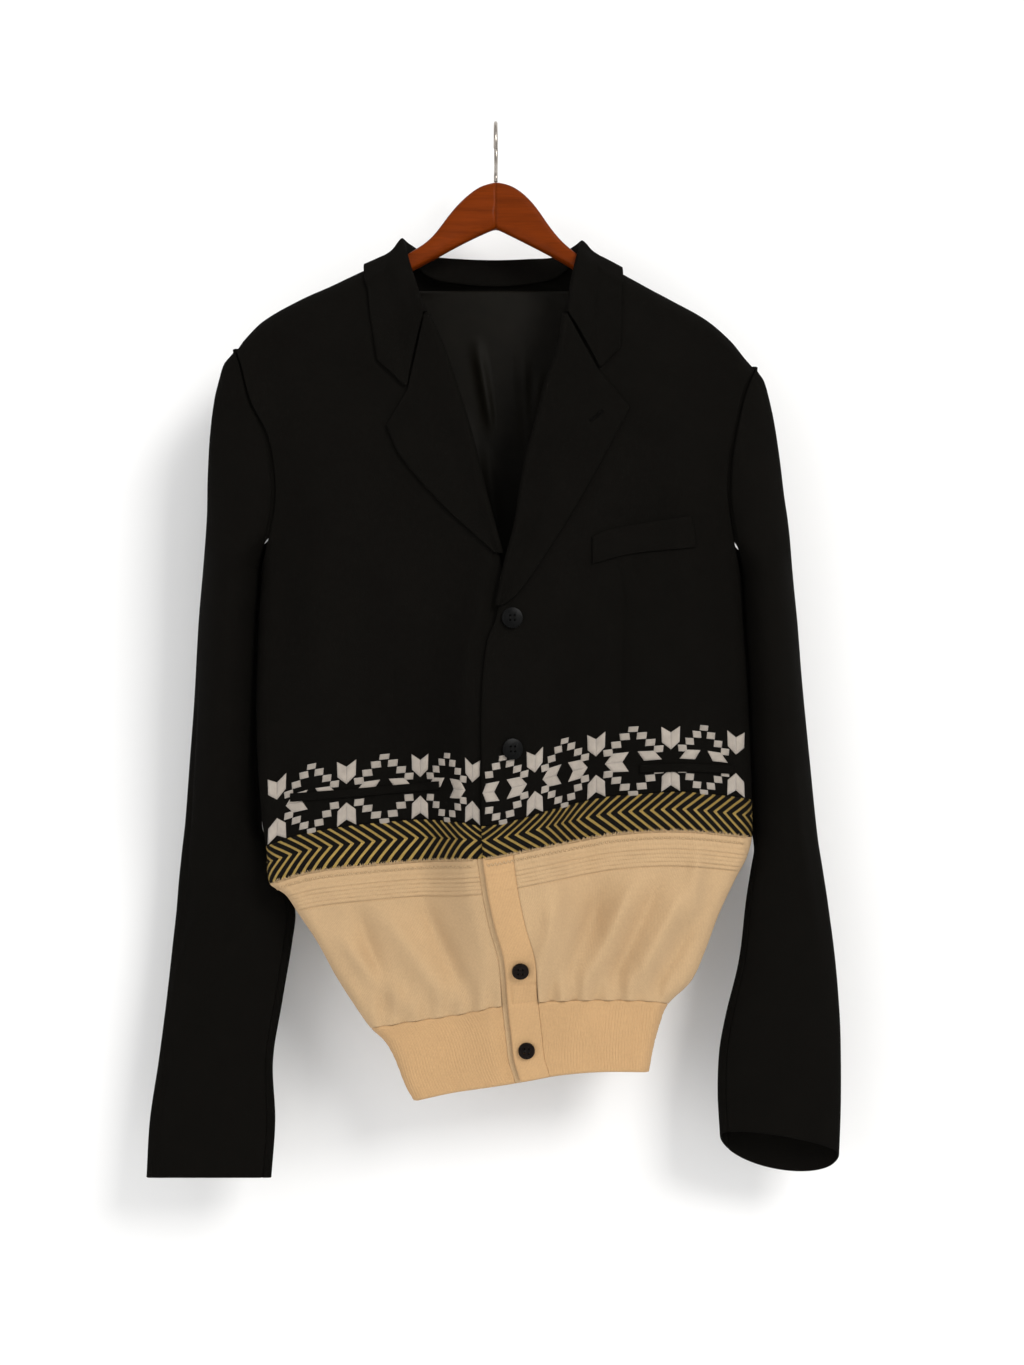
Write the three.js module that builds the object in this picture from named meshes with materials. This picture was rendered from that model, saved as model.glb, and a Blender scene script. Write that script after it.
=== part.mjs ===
// A tailored blazer with a knitted lower body, hanging closed on a contoured wooden hanger.
// Millimetres. X runs to the right of someone facing it, Y away from them, Z up.
// The origin is the inside top of the hook, where it rests on a rail.
// Left and right are those of someone facing the blazer.

import * as THREE from 'three';

// Thicknesses and gaps
const WOOL = 2;
const KNIT = 1.6;
const LINING = 1;
const BRAID = 1.8;
const BAR_HEIGHT = 1;
const SEAM = 0.3;
const SIDE_SEAM = 0.6;
const WIDE_SEAM = 0.7;
const EDGE_GAP = 1.1;
const LAYER_GAP = 0.6;

// Every place in the tables is read from straight in front, on the plane of the fronts.
// A point nearer or farther than that plane is drawn in or out along the line to the eye.
const EYE = { x: 15, z: -513, distance: 1400, plane: -35 };

// Small helpers for numbers
const lerp = (a, b, t) => a + (b - a) * t;
const clamp = (t, low = 0, high = 1) => Math.min(high, Math.max(low, t));
const smooth = (t) => clamp(t) ** 2 * (3 - 2 * clamp(t));
const quarterRound = (t) => Math.sqrt(1 - (1 - clamp(t)) ** 2);
const radians = (degrees) => degrees * Math.PI / 180;
const steps = (count, from = 0, to = 1) =>
  Array.from({ length: count + 1 }, (_, i) => lerp(from, to, i / count));

function placed(x, y, z) {
  const scale = (EYE.distance + y - EYE.plane) / EYE.distance;
  return new THREE.Vector3(EYE.x + (x - EYE.x) * scale, y, EYE.z + (z - EYE.z) * scale);
}

// A smooth curve through the rows of a table: value by value of the key column.
function track(rows, key, value) {
  const sorted = [...rows].sort((a, b) => a[key] - b[key]);
  const slope = (i) => {
    const a = sorted[Math.max(i - 1, 0)];
    const b = sorted[Math.min(i + 1, sorted.length - 1)];
    return (b[value] - a[value]) / (b[key] - a[key]);
  };
  return (at) => {
    const place = clamp(at, sorted[0][key], sorted.at(-1)[key]);
    let i = 0;
    while (i < sorted.length - 2 && place > sorted[i + 1][key]) i += 1;
    const [a, b] = [sorted[i], sorted[i + 1]];
    const span = b[key] - a[key];
    const t = (place - a[key]) / span;
    const start = slope(i) * span;
    const end = slope(i + 1) * span;
    const rise = b[value] - a[value];
    return a[value] + start * t + (3 * rise - 2 * start - end) * t * t
      + (start + end - 2 * rise) * t * t * t;
  };
}

// Curves in the plane of the fronts, as [x, z] by share of their length. Past its ends a curve
// goes on straight, so that a wall's direction is known right up to its edge.
const END_STEP = 0.01;

function extended(curve) {
  const beyond = (end, inside, t) => end.map((value, k) => value + (inside[k] - value) * t / END_STEP);
  return (t) => {
    if (t < 0) return beyond(curve(0), curve(END_STEP), t);
    if (t > 1) return beyond(curve(1), curve(1 - END_STEP), 1 - t);
    return curve(t);
  };
}

function flowing(points) {
  const curve = new THREE.CatmullRomCurve3(
    points.map(([x, z]) => new THREE.Vector3(x, 0, z)), false, 'centripetal');
  curve.arcLengthDivisions = 400;
  return extended((t) => {
    const point = curve.getPointAt(t);
    return [point.x, point.z];
  });
}

function cornered(points) {
  const curve = new THREE.CurvePath();
  for (let i = 1; i < points.length; i += 1) {
    curve.add(new THREE.LineCurve3(
      new THREE.Vector3(points[i - 1][0], 0, points[i - 1][1]),
      new THREE.Vector3(points[i][0], 0, points[i][1])));
  }
  return extended((t) => {
    const point = curve.getPointAt(t);
    return [point.x, point.z];
  });
}

// Curves one after the other, each with its share of the whole
function joined(parts) {
  return extended((t) => {
    let start = 0;
    for (const { curve, share } of parts) {
      if (t <= start + share || parts.at(-1).curve === curve) return curve(clamp((t - start) / share));
      start += share;
    }
    return null;
  });
}

// A patch between four edge curves that share their corners.
function patch({ top, bottom, left, right }) {
  return (u, v) => [0, 1].map((k) => (
    lerp(top(u)[k], bottom(u)[k], v) + lerp(left(v)[k], right(v)[k], u)
    - lerp(lerp(top(0)[k], top(1)[k], u), lerp(bottom(0)[k], bottom(1)[k], u), v)));
}

// Outline of the body, as its side edges by height
const SIDE_LEFT = [
  { z: -120, x: -246 }, { z: -215, x: -246 }, { z: -260, x: -232 }, { z: -300, x: -222 },
  { z: -350, x: -214 }, { z: -408, x: -210 }, { z: -457, x: -213 },
  { z: -529, x: -215 }, { z: -583, x: -214 }, { z: -637, x: -210 }, { z: -664, x: -206 },
  { z: -694, x: -203 }, { z: -704, x: -189 }, { z: -720, x: -178 }, { z: -747, x: -160 },
  { z: -778, x: -143 }, { z: -806, x: -125 }, { z: -824, x: -112 }, { z: -835, x: -100 },
  { z: -850, x: -91 }, { z: -875, x: -81 }, { z: -895, x: -70 },
];
const SIDE_RIGHT = [
  { z: -120, x: 246 }, { z: -231, x: 246 }, { z: -260, x: 236 }, { z: -300, x: 228 },
  { z: -350, x: 223 }, { z: -417, x: 221 }, { z: -511, x: 227 },
  { z: -583, x: 230 }, { z: -619, x: 231 }, { z: -652, x: 231 }, { z: -671, x: 226 },
  { z: -690, x: 216 }, { z: -722, x: 201 }, { z: -754, x: 189 }, { z: -782, x: 176 },
  { z: -803, x: 155 }, { z: -820, x: 148 }, { z: -842, x: 142 }, { z: -870, x: 137 },
];
const sideLeft = track(SIDE_LEFT, 'z', 'x');
const sideRight = track(SIDE_RIGHT, 'z', 'x');

// The ridge of the shoulders, from armhole to armhole
const SHOULDERS = [
  { x: -233, z: -215 }, { x: -226, z: -205 }, { x: -209, z: -188 }, { x: -176, z: -169 },
  { x: -147, z: -156 }, { x: -126, z: -146 }, { x: -104, z: -136 }, { x: -83, z: -126 },
  { x: -60, z: -112 }, { x: 0, z: -95 }, { x: 55, z: -112 }, { x: 76, z: -126 },
  { x: 97, z: -136 }, { x: 121, z: -149 }, { x: 141, z: -160 }, { x: 158, z: -169 },
  { x: 190, z: -187 }, { x: 212, z: -206 }, { x: 225, z: -222 }, { x: 233, z: -231 },
];
const ridgeHeight = track(SHOULDERS, 'x', 'z');

// How far the cloth stands from front to back, by height, and how far the closing juts out
const FULLNESS = [
  { z: -130, front: -34, back: 38, closing: 0, backEdge: 26 },
  { z: -220, front: -40, back: 42, closing: 0, backEdge: 30 },
  { z: -330, front: -42, back: 42, closing: 3, backEdge: 30 },
  { z: -455, front: -40, back: 36, closing: 22, backEdge: 22 },
  { z: -560, front: -38, back: 28, closing: 38, backEdge: 8 },
  { z: -650, front: -36, back: 22, closing: 45, backEdge: 4 },
  { z: -705, front: -33, back: 16, closing: 39, backEdge: 4 },
  { z: -760, front: -29, back: 10, closing: 26, backEdge: 4 },
  { z: -815, front: -24, back: 5, closing: 12, backEdge: 4 },
  { z: -890, front: -21, back: 2, closing: 6, backEdge: 4 },
];
const frontFullness = track(FULLNESS, 'z', 'front');
const backFullness = track(FULLNESS, 'z', 'back');
const closingHeight = track(FULLNESS, 'z', 'closing');
const backEdgeRadius = track(FULLNESS, 'z', 'backEdge');

// The edge of the upper front: the roll of the lapel, then the closing down to the hem
const UPPER_EDGE = [
  { z: -118, x: 75 }, { z: -150, x: 68 }, { z: -180, x: 65 }, { z: -212, x: 60 },
  { z: -247, x: 48 }, { z: -265, x: 44 }, { z: -315, x: 31 }, { z: -368, x: 22 },
  { z: -405, x: 12 }, { z: -455, x: 1 }, { z: -473, x: -6 }, { z: -499, x: -10 },
  { z: -536, x: -12 }, { z: -583, x: -12 }, { z: -646, x: -12 }, { z: -670, x: -11 },
  { z: -687, x: -9 }, { z: -706, x: -6 }, { z: -734, x: 0 }, { z: -763, x: 8 },
  { z: -799, x: 11 }, { z: -835, x: 15 }, { z: -852, x: 17 }, { z: -875, x: 24 },
];
const upperEdge = track(UPPER_EDGE, 'z', 'x');

const SHOULDER_SWEEP = 26;
const SIDE_DEPTH = { left: -15, right: -9 };
const SIDE_REACH = 90;
const TOP_ROUND = 12;
const TOP_REACH = 60;
const FRONT_SIDE_ROUND = 12;
const FRONT_SIDE_REACH = 60;

// The surface halfway between front and back
function middle(x, z) {
  const shoulder = -SHOULDER_SWEEP * (Math.abs(x) / 210) ** 1.6;
  const side = lerp(SIDE_DEPTH.left, SIDE_DEPTH.right, clamp((x + 230) / 460));
  return lerp(shoulder, side, smooth((-z - 250) / 300));
}

// From 0 on an edge to 1 well inside it: a round edge, then a slow swell
function swell(distance, height, radius, reach) {
  const share = clamp(radius / Math.abs(height));
  return share * quarterRound(distance / radius) + (1 - share) * smooth(distance / reach);
}

const insideSides = (x, z) => Math.max(0, Math.min(x - sideLeft(z), sideRight(z) - x));
const belowRidge = (x, z) => Math.max(0, ridgeHeight(x) - z);

// The closing is a ridge: steep on the left, gentle and then steep again on the right
const CLOSING = { leftFoot: -60, gentleEnd: 46, rightFoot: 96, shoulderShare: 0.8 };

function closingShape(distance) {
  if (distance < 0) return smooth(1 - distance / CLOSING.leftFoot);
  if (distance < CLOSING.gentleEnd) {
    return lerp(1, CLOSING.shoulderShare, smooth(distance / CLOSING.gentleEnd));
  }
  const down = (distance - CLOSING.gentleEnd) / (CLOSING.rightFoot - CLOSING.gentleEnd);
  return CLOSING.shoulderShare * (1 - smooth(down));
}

// Soft folds: from one end to the other, how wide, and how far they stand out or sink in
const FRONT_FOLDS = [
  { x1: -92, z1: -500, x2: -84, z2: -645, width: 12, depth: -3.5 },
  { x1: -150, z1: -300, x2: -168, z2: -560, width: 20, depth: 3 },
  { x1: 112, z1: -410, x2: 110, z2: -570, width: 9, depth: -2.5 },
  { x1: 150, z1: -230, x2: 196, z2: -520, width: 20, depth: 3.5 },
  { x1: -108, z1: -712, x2: -38, z2: -806, width: 13, depth: 6 },
  { x1: -150, z1: -735, x2: -72, z2: -815, width: 11, depth: 5 },
  { x1: -70, z1: -702, x2: -22, z2: -800, width: 10, depth: -4 },
  { x1: -128, z1: -705, x2: -90, z2: -820, width: 9, depth: -4 },
  { x1: 60, z1: -695, x2: 34, z2: -795, width: 10, depth: 5 },
  { x1: 100, z1: -690, x2: 58, z2: -792, width: 11, depth: -5 },
  { x1: 128, z1: -686, x2: 80, z2: -792, width: 10, depth: 6 },
  { x1: 152, z1: -684, x2: 100, z2: -792, width: 9, depth: -4.5 },
  { x1: 176, z1: -690, x2: 120, z2: -794, width: 10, depth: 6 },
  { x1: 190, z1: -712, x2: 138, z2: -796, width: 9, depth: -4 },
  { x1: 184, z1: -655, x2: 176, z2: -742, width: 8, depth: 4.5 },
];
const BACK_FOLDS = [
  { x1: -60, z1: -230, x2: -78, z2: -600, width: 24, depth: 3 },
  { x1: 70, z1: -240, x2: 92, z2: -590, width: 24, depth: 3 },
  { x1: 4, z1: -360, x2: -4, z2: -640, width: 16, depth: -2.5 },
  { x1: -118, z1: -690, x2: -66, z2: -805, width: 14, depth: 4.5 },
  { x1: -50, z1: -700, x2: -20, z2: -800, width: 13, depth: -3.5 },
  { x1: 36, z1: -680, x2: 24, z2: -795, width: 13, depth: 4.5 },
  { x1: 98, z1: -675, x2: 66, z2: -790, width: 13, depth: -4 },
  { x1: 156, z1: -670, x2: 108, z2: -790, width: 13, depth: 4.5 },
];

function foldDepth(folds, x, z) {
  let depth = 0;
  for (const fold of folds) {
    const [dx, dz] = [fold.x2 - fold.x1, fold.z2 - fold.z1];
    const length = Math.hypot(dx, dz);
    const along = ((x - fold.x1) * dx + (z - fold.z1) * dz) / length ** 2;
    const across = ((x - fold.x1) * dz - (z - fold.z1) * dx) / length;
    const fade = smooth((0.5 - Math.abs(along - 0.5)) / 0.4 + 0.25);
    depth += fold.depth * fade * Math.exp(-((across / fold.width) ** 2));
  }
  return depth;
}

// Gathers where the knit is drawn into the waistband, strongest on the seam
const GATHER = { pitch: 19, height: 2.2, reach: 42 };

function gatherDepth(x, z, seamHeight) {
  const near = smooth(1 - Math.abs(z - seamHeight) / GATHER.reach);
  const wander = 1 + 0.35 * Math.sin(x / 31);
  return GATHER.height * near * wander * Math.sin(2 * Math.PI * x / GATHER.pitch);
}

// Depth of the outer face of the front and of the back at a place seen from in front
function frontDepth(x, z) {
  const mid = middle(x, z);
  const height = frontFullness(z) - mid;
  const share = swell(insideSides(x, z), height, FRONT_SIDE_ROUND, FRONT_SIDE_REACH)
    * swell(belowRidge(x, z), height, TOP_ROUND, TOP_REACH);
  const closing = closingHeight(z) * closingShape(x - upperEdge(z));
  const fold = foldDepth(FRONT_FOLDS, x, z) * smooth(insideSides(x, z) / 30);
  return mid - SIDE_SEAM / 2 + height * share - closing - fold;
}

function backDepth(x, z) {
  const mid = middle(x, z);
  const height = backFullness(z) - mid;
  const share = swell(insideSides(x, z), height, backEdgeRadius(z), SIDE_REACH)
    * swell(belowRidge(x, z), height, TOP_ROUND, TOP_REACH);
  const fold = foldDepth(BACK_FOLDS, x, z) * smooth(insideSides(x, z) / 40);
  return mid + SIDE_SEAM / 2 + height * share + fold;
}

// The left front passes under the right one, deeper where the right lapel rolls round its edge
const UNDERLAP = [
  { z: -380, sink: 7.2 }, { z: -450, sink: 7 }, { z: -485, sink: 4.6 }, { z: -890, sink: 4.6 },
];
const underlapSink = track(UNDERLAP, 'z', 'sink');
const UNDERLAP_START = 20;
const UNDERLAP_RUN = 16;

function leftFrontDepth(x, z) {
  const under = smooth((x - upperEdge(z) + UNDERLAP_START) / UNDERLAP_RUN);
  return frontDepth(x, z) + underlapSink(z) * under;
}

// Triangles of a wall: seen from outside, columns run to the right and rows run down
class Skin {
  constructor() {
    this.points = [];
    this.triangles = [];
  }

  grid(points) {
    return points.map((row) => row.map((point) => this.points.push(point) - 1));
  }

  sheet(grid, outward) {
    for (let j = 1; j < grid.length; j += 1) {
      for (let i = 1; i < grid[j].length; i += 1) {
        const [a, b, c, d] = [grid[j - 1][i - 1], grid[j - 1][i], grid[j][i - 1], grid[j][i]];
        if (outward) this.triangles.push([a, c, d], [a, d, b]);
        else this.triangles.push([a, d, c], [a, b, d]);
      }
    }
  }

  // Joins one side of the outer sheet to the same side of the inner one.
  rim(outer, inner) {
    let [i, j] = [0, 0];
    const [outerLast, innerLast] = [outer.length - 1, inner.length - 1];
    while (i < outerLast || j < innerLast) {
      const outerNext = (i + 1) / outerLast;
      const innerNext = (j + 1) / innerLast;
      if (j === innerLast || (i < outerLast && outerNext <= innerNext)) {
        this.triangles.push([outer[i + 1], outer[i], inner[j]]);
        i += 1;
      } else {
        this.triangles.push([outer[i], inner[j], inner[j + 1]]);
        j += 1;
      }
    }
  }

  close(outer, inner) {
    const side = (grid, i) => grid.map((row) => row.at(i));
    this.sheet(outer, true);
    this.sheet(inner, false);
    this.rim(side(outer, 0), side(inner, 0));
    this.rim(outer.at(-1), inner.at(-1));
    this.rim(side(outer, -1).reverse(), side(inner, -1).reverse());
    this.rim([...outer[0]].reverse(), [...inner[0]].reverse());
  }

  geometry() {
    const geometry = new THREE.BufferGeometry();
    const flat = this.points.flatMap((point) => [point.x, point.y, point.z]);
    geometry.setAttribute('position', new THREE.Float32BufferAttribute(flat, 3));
    geometry.setIndex(this.triangles.flat());
    return geometry;
  }
}

const NUDGE = 0.004;

function outwardNormal(surface, u, v) {
  const across = surface(u + NUDGE, v).sub(surface(u - NUDGE, v));
  const down = surface(u, v + NUDGE).sub(surface(u, v - NUDGE));
  return down.cross(across).normalize();
}

// A wall under an outer surface. raise(u, v) lifts the outer face alone, off a plain inside.
function wall(surface, columns, rows, thickness, { raise, innerColumns, innerRows } = {}) {
  const skin = new Skin();
  const face = (us, vs, lift) => vs.map((v) => us.map((u) => (
    surface(u, v).addScaledVector(outwardNormal(surface, u, v), lift(u, v)))));
  const outer = skin.grid(face(columns, rows, (u, v) => (raise ? raise(u, v) : 0)));
  const inner = skin.grid(face(innerColumns ?? columns, innerRows ?? rows, () => -thickness));
  skin.close(outer, inner);
  return skin.geometry();
}

const blazer = new THREE.Group();

function add(name, geometry, material) {
  const mesh = new THREE.Mesh(geometry, material);
  mesh.name = name;
  blazer.add(mesh);
  return mesh;
}

// Materials
const finish = (color, roughness, metalness = 0) =>
  new THREE.MeshStandardMaterial({ color, roughness, metalness });
const blackWool = () => finish(0x131211, 0.9);
const blackLining = () => finish(0x161512, 0.6);
const goldBraid = () => finish(0x8f7420, 0.6, 0.2);
const creamKnit = () => finish(0xe3c08c, 0.85);
const brownWood = () => finish(0x7a3413, 0.35);
const bareSteel = () => finish(0xb8b4ac, 0.25, 1);
const blackButton = () => finish(0x101010, 0.3);

// Lines across the fronts and the back, as seen from in front
const TRIM_TOP = [
  { x: -210, z: -661 }, { x: -174, z: -649 }, { x: -133, z: -642 }, { x: -85, z: -637 },
  { x: -61, z: -636 }, { x: -29, z: -639 }, { x: -10, z: -642 }, { x: 21, z: -636 },
  { x: 55, z: -626 }, { x: 98, z: -616 }, { x: 133, z: -613 }, { x: 167, z: -611 },
  { x: 211, z: -615 }, { x: 232, z: -618 },
];
const TRIM_BOTTOM = [
  { x: -205, z: -694 }, { x: -166, z: -683 }, { x: -117, z: -677 }, { x: -68, z: -673 },
  { x: -11, z: -671 }, { x: 38, z: -662 }, { x: 73, z: -655 }, { x: 107, z: -649 },
  { x: 150, z: -646 }, { x: 184, z: -647 }, { x: 232, z: -652 },
];
const RIB_TOP = [
  { x: -112, z: -824 }, { x: -74, z: -818 }, { x: -34, z: -812 }, { x: 14, z: -803 },
  { x: 55, z: -800 }, { x: 97, z: -799 }, { x: 140, z: -800 }, { x: 156, z: -802 },
];
const HEM = [
  { x: -72, z: -889 }, { x: -40, z: -882 }, { x: 0, z: -876 }, { x: 30, z: -871 },
  { x: 58, z: -866 }, { x: 94, z: -863 }, { x: 138, z: -863 },
];
const trimTop = track(TRIM_TOP, 'x', 'z');
const trimBottom = track(TRIM_BOTTOM, 'x', 'z');
const ribTop = track(RIB_TOP, 'x', 'z');
const hem = track(HEM, 'x', 'z');

// A straight run of a line across, from one x to another
const run = (line, from, to, drop = 0) => extended((t) => {
  const x = lerp(from, to, t);
  return [x, line(x) - drop];
});
// A run of an edge down, from one z to another
const descent = (edge, from, to, shift = 0) => extended((t) => {
  const z = lerp(from, to, t);
  return [edge(z) + shift, z];
});
// The corner where a line across meets an edge down
function corner(line, edge, shift = 0) {
  let z = line(0);
  for (let i = 0; i < 12; i += 1) z = line(edge(z) + shift);
  return [edge(z) + shift, z];
}

// Armholes, from the shoulder tip to the underarm
const ARMHOLE_LEFT = [
  [-233, -215], [-229, -226], [-220, -259], [-204, -292], [-198, -330], [-199, -358],
  [-203, -378], [-210, -408],
];
const ARMHOLE_RIGHT = [
  [233, -231], [224, -247], [216, -279], [210, -312], [209, -345], [214, -380], [221, -417],
];

// The roll of the left lapel, then the hidden edge of the left front under the right one
const NECK_LEFT = -87;
const NECK_RIGHT = 82;
const LEFT_FRONT_EDGE = [
  [NECK_LEFT, ridgeHeight(NECK_LEFT)], [-77, -150], [-64, -180], [-50, -214], [-28, -282],
  [-14, -336], [0, -385], [8, -420], [13, -455], [12, -499], [11, -560], [12, trimTop(12)],
];
const RIGHT_FRONT_EDGE = [
  [NECK_RIGHT, ridgeHeight(NECK_RIGHT)], [71, -152], [65, -180], [60, -212], [48, -247],
  [44, -265], [31, -315], [22, -368], [12, -405], [1, -455], [-6, -473], [-10, -499],
  [-12, -536], [-12, -583], [-12, trimTop(-12)],
];
const NECKLINE = [[60, -143], [30, -150], [0, -152], [-30, -150], [-64, -143]];

// A body surface over a place in the plane. Past a side or the shoulder ridge it turns over
// to the other side of the body.
const ON_EDGE = 1e-6;

function bodyPoint(x, z, depth, otherDepth) {
  const ridge = ridgeHeight(x);
  if (z > ridge + ON_EDGE) return placed(x, otherDepth(x, 2 * ridge - z), 2 * ridge - z);
  const [left, right] = [sideLeft(z), sideRight(z)];
  if (x < left - ON_EDGE) return placed(2 * left - x, otherDepth(2 * left - x, z), z);
  if (x > right + ON_EDGE) return placed(2 * right - x, otherDepth(2 * right - x, z), z);
  return placed(x, depth(x, z), z);
}
const surfaceOf = (place, depth, otherDepth) => (u, v) => bodyPoint(...place(u, v), depth, otherDepth);
const lifted = (surface, lift) => (u, v) =>
  surface(u, v).addScaledVector(outwardNormal(surface, u, v), lift);

// Columns and rows close together on a round edge and on the slopes of the closing
const LEFT_COLUMNS = [
  0, 0.006, 0.03, 0.08, 0.15, 0.26, 0.38, 0.5, 0.62, 0.71, 0.78, 0.84, 0.9, 0.95, 1];
const RIGHT_COLUMNS = [
  0, 0.06, 0.13, 0.2, 0.26, 0.32, 0.38, 0.44, 0.52, 0.62, 0.74, 0.85, 0.92, 0.97, 0.994, 1];
const shoulderRows = (inner) => [0, 0.005, 0.02, 0.05, ...steps(inner, 0.095, 1)];
const mirrored = (columns) => columns.map((u) => 1 - u).reverse();
const SHOULDER_SHARE = 0.32;
const bothSides = (outer, neck) => [
  0, 0.003, 0.015, 0.04, ...steps(outer, 0.08, SHOULDER_SHARE),
  ...steps(neck, SHOULDER_SHARE, 1 - SHOULDER_SHARE).slice(1, -1),
  ...steps(outer, 1 - SHOULDER_SHARE, 0.92), 0.96, 0.985, 0.997, 1];

const ARMHOLE_SHARE = 0.44;
const armholeAndSide = (armhole, side, foot) => {
  const underarm = armhole.at(-1)[1];
  return joined([
    { curve: flowing([...armhole.slice(0, -1), [side(underarm), underarm]]), share: ARMHOLE_SHARE },
    { curve: descent(side, underarm, foot[1]), share: 1 - ARMHOLE_SHARE },
  ]);
};

// Black cloth: two fronts and a back, down to the braid
function addBody() {
  const leftCorner = corner(trimTop, sideLeft);
  const rightCorner = corner(trimTop, sideRight);
  const leftSide = armholeAndSide(ARMHOLE_LEFT, sideLeft, leftCorner);
  const rightSide = armholeAndSide(ARMHOLE_RIGHT, sideRight, rightCorner);
  const left = patch({
    top: run(ridgeHeight, ARMHOLE_LEFT[0][0], NECK_LEFT),
    bottom: run(trimTop, leftCorner[0], LEFT_FRONT_EDGE.at(-1)[0]),
    left: leftSide,
    right: flowing(LEFT_FRONT_EDGE),
  });
  const right = patch({
    top: run(ridgeHeight, NECK_RIGHT, ARMHOLE_RIGHT[0][0]),
    bottom: run(trimTop, RIGHT_FRONT_EDGE.at(-1)[0], rightCorner[0]),
    left: flowing(RIGHT_FRONT_EDGE),
    right: rightSide,
  });
  const neckline = flowing([
    [NECK_RIGHT, ridgeHeight(NECK_RIGHT)], ...NECKLINE, [NECK_LEFT, ridgeHeight(NECK_LEFT)]]);
  const back = patch({
    top: joined([
      { curve: run(ridgeHeight, ARMHOLE_RIGHT[0][0], NECK_RIGHT), share: SHOULDER_SHARE },
      { curve: neckline, share: 1 - 2 * SHOULDER_SHARE },
      { curve: run(ridgeHeight, NECK_LEFT, ARMHOLE_LEFT[0][0]), share: SHOULDER_SHARE },
    ]),
    bottom: run(trimTop, rightCorner[0], leftCorner[0]),
    left: rightSide,
    right: leftSide,
  });
  const leftSurface = surfaceOf(left, leftFrontDepth, backDepth);
  const rightSurface = surfaceOf(right, frontDepth, backDepth);
  const backSurface = surfaceOf(back, backDepth, frontDepth);
  add('front_left', wall(leftSurface, LEFT_COLUMNS, shoulderRows(12), WOOL), blackWool());
  add('front_right', wall(rightSurface, RIGHT_COLUMNS, shoulderRows(12), WOOL), blackWool());
  add('back', wall(backSurface, bothSides(4, 6), shoulderRows(10), WOOL), blackWool());
}

// Lapels: the flap that lies on the front, and the roll round the edge of the front.
// Across a lapel, 0 is the roll, 1 the outer edge and -1 the end of the roll inside the front.
const LAPEL = { rollLift: 6.5, lowRollLift: 3.6, clearInside: 3, edgeLift: WOOL + LAYER_GAP + 0.8 };
const LAPEL_LEFT = {
  toOpening: 1,
  depth: leftFrontDepth,
  gorge: [[-64, -181], [-79, -249], [-98, -281]],
  outer: [[-98, -281], [-85, -309], [-48, -352], [-11, -386], [0, -396]],
  roll: [[-64, -181], [-50, -214], [-28, -282], [-14, -336], [0, -385], [3, -396]],
};
const LAPEL_RIGHT = {
  toOpening: -1,
  depth: frontDepth,
  gorge: [[65, -181], [93, -232], [121, -265]],
  outer: [[121, -265], [106, -293], [76, -347], [41, -403], [20, -432], [7, -443]],
  roll: [
    [65, -181], [60, -212], [48, -247], [44, -265], [31, -315], [22, -368], [12, -405], [3.5, -443]],
};

function lapelSurface(lapel) {
  const place = patch({
    top: cornered(lapel.gorge),
    bottom: cornered([lapel.roll.at(-1), lapel.outer.at(-1)]),
    left: flowing(lapel.roll),
    right: flowing(lapel.outer),
  });
  return (across, v) => {
    const rollLift = lerp(LAPEL.rollLift, LAPEL.lowRollLift, smooth((v - 0.5) / 0.5));
    const [x, z] = place(Math.max(across, 0), v);
    const depth = lapel.depth(x, z);
    if (across >= 0) {
      return placed(x, depth - lerp(rollLift, LAPEL.edgeLift, smooth(across / 0.5)), z);
    }
    const turn = Math.PI * lerp(1, 0.6, smooth((v - 0.75) / 0.25)) * -across;
    const radius = (rollLift + WOOL + LAPEL.clearInside) / 2;
    return placed(x + lapel.toOpening * radius * Math.sin(turn),
      depth - rollLift + radius * (1 - Math.cos(turn)), z);
  };
}

function addLapels() {
  const columns = [-1, -0.66, -0.33, 0, 0.2, 0.45, 0.72, 1];
  const left = lapelSurface(LAPEL_LEFT);
  const right = lapelSurface(LAPEL_RIGHT);
  add('lapel_left', wall((u, v) => left(-u, v), columns.map((u) => -u).reverse(), steps(12), WOOL - 0.2),
    blackWool());
  add('lapel_right', wall(right, columns, steps(14), WOOL - 0.2), blackWool());
}

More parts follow.
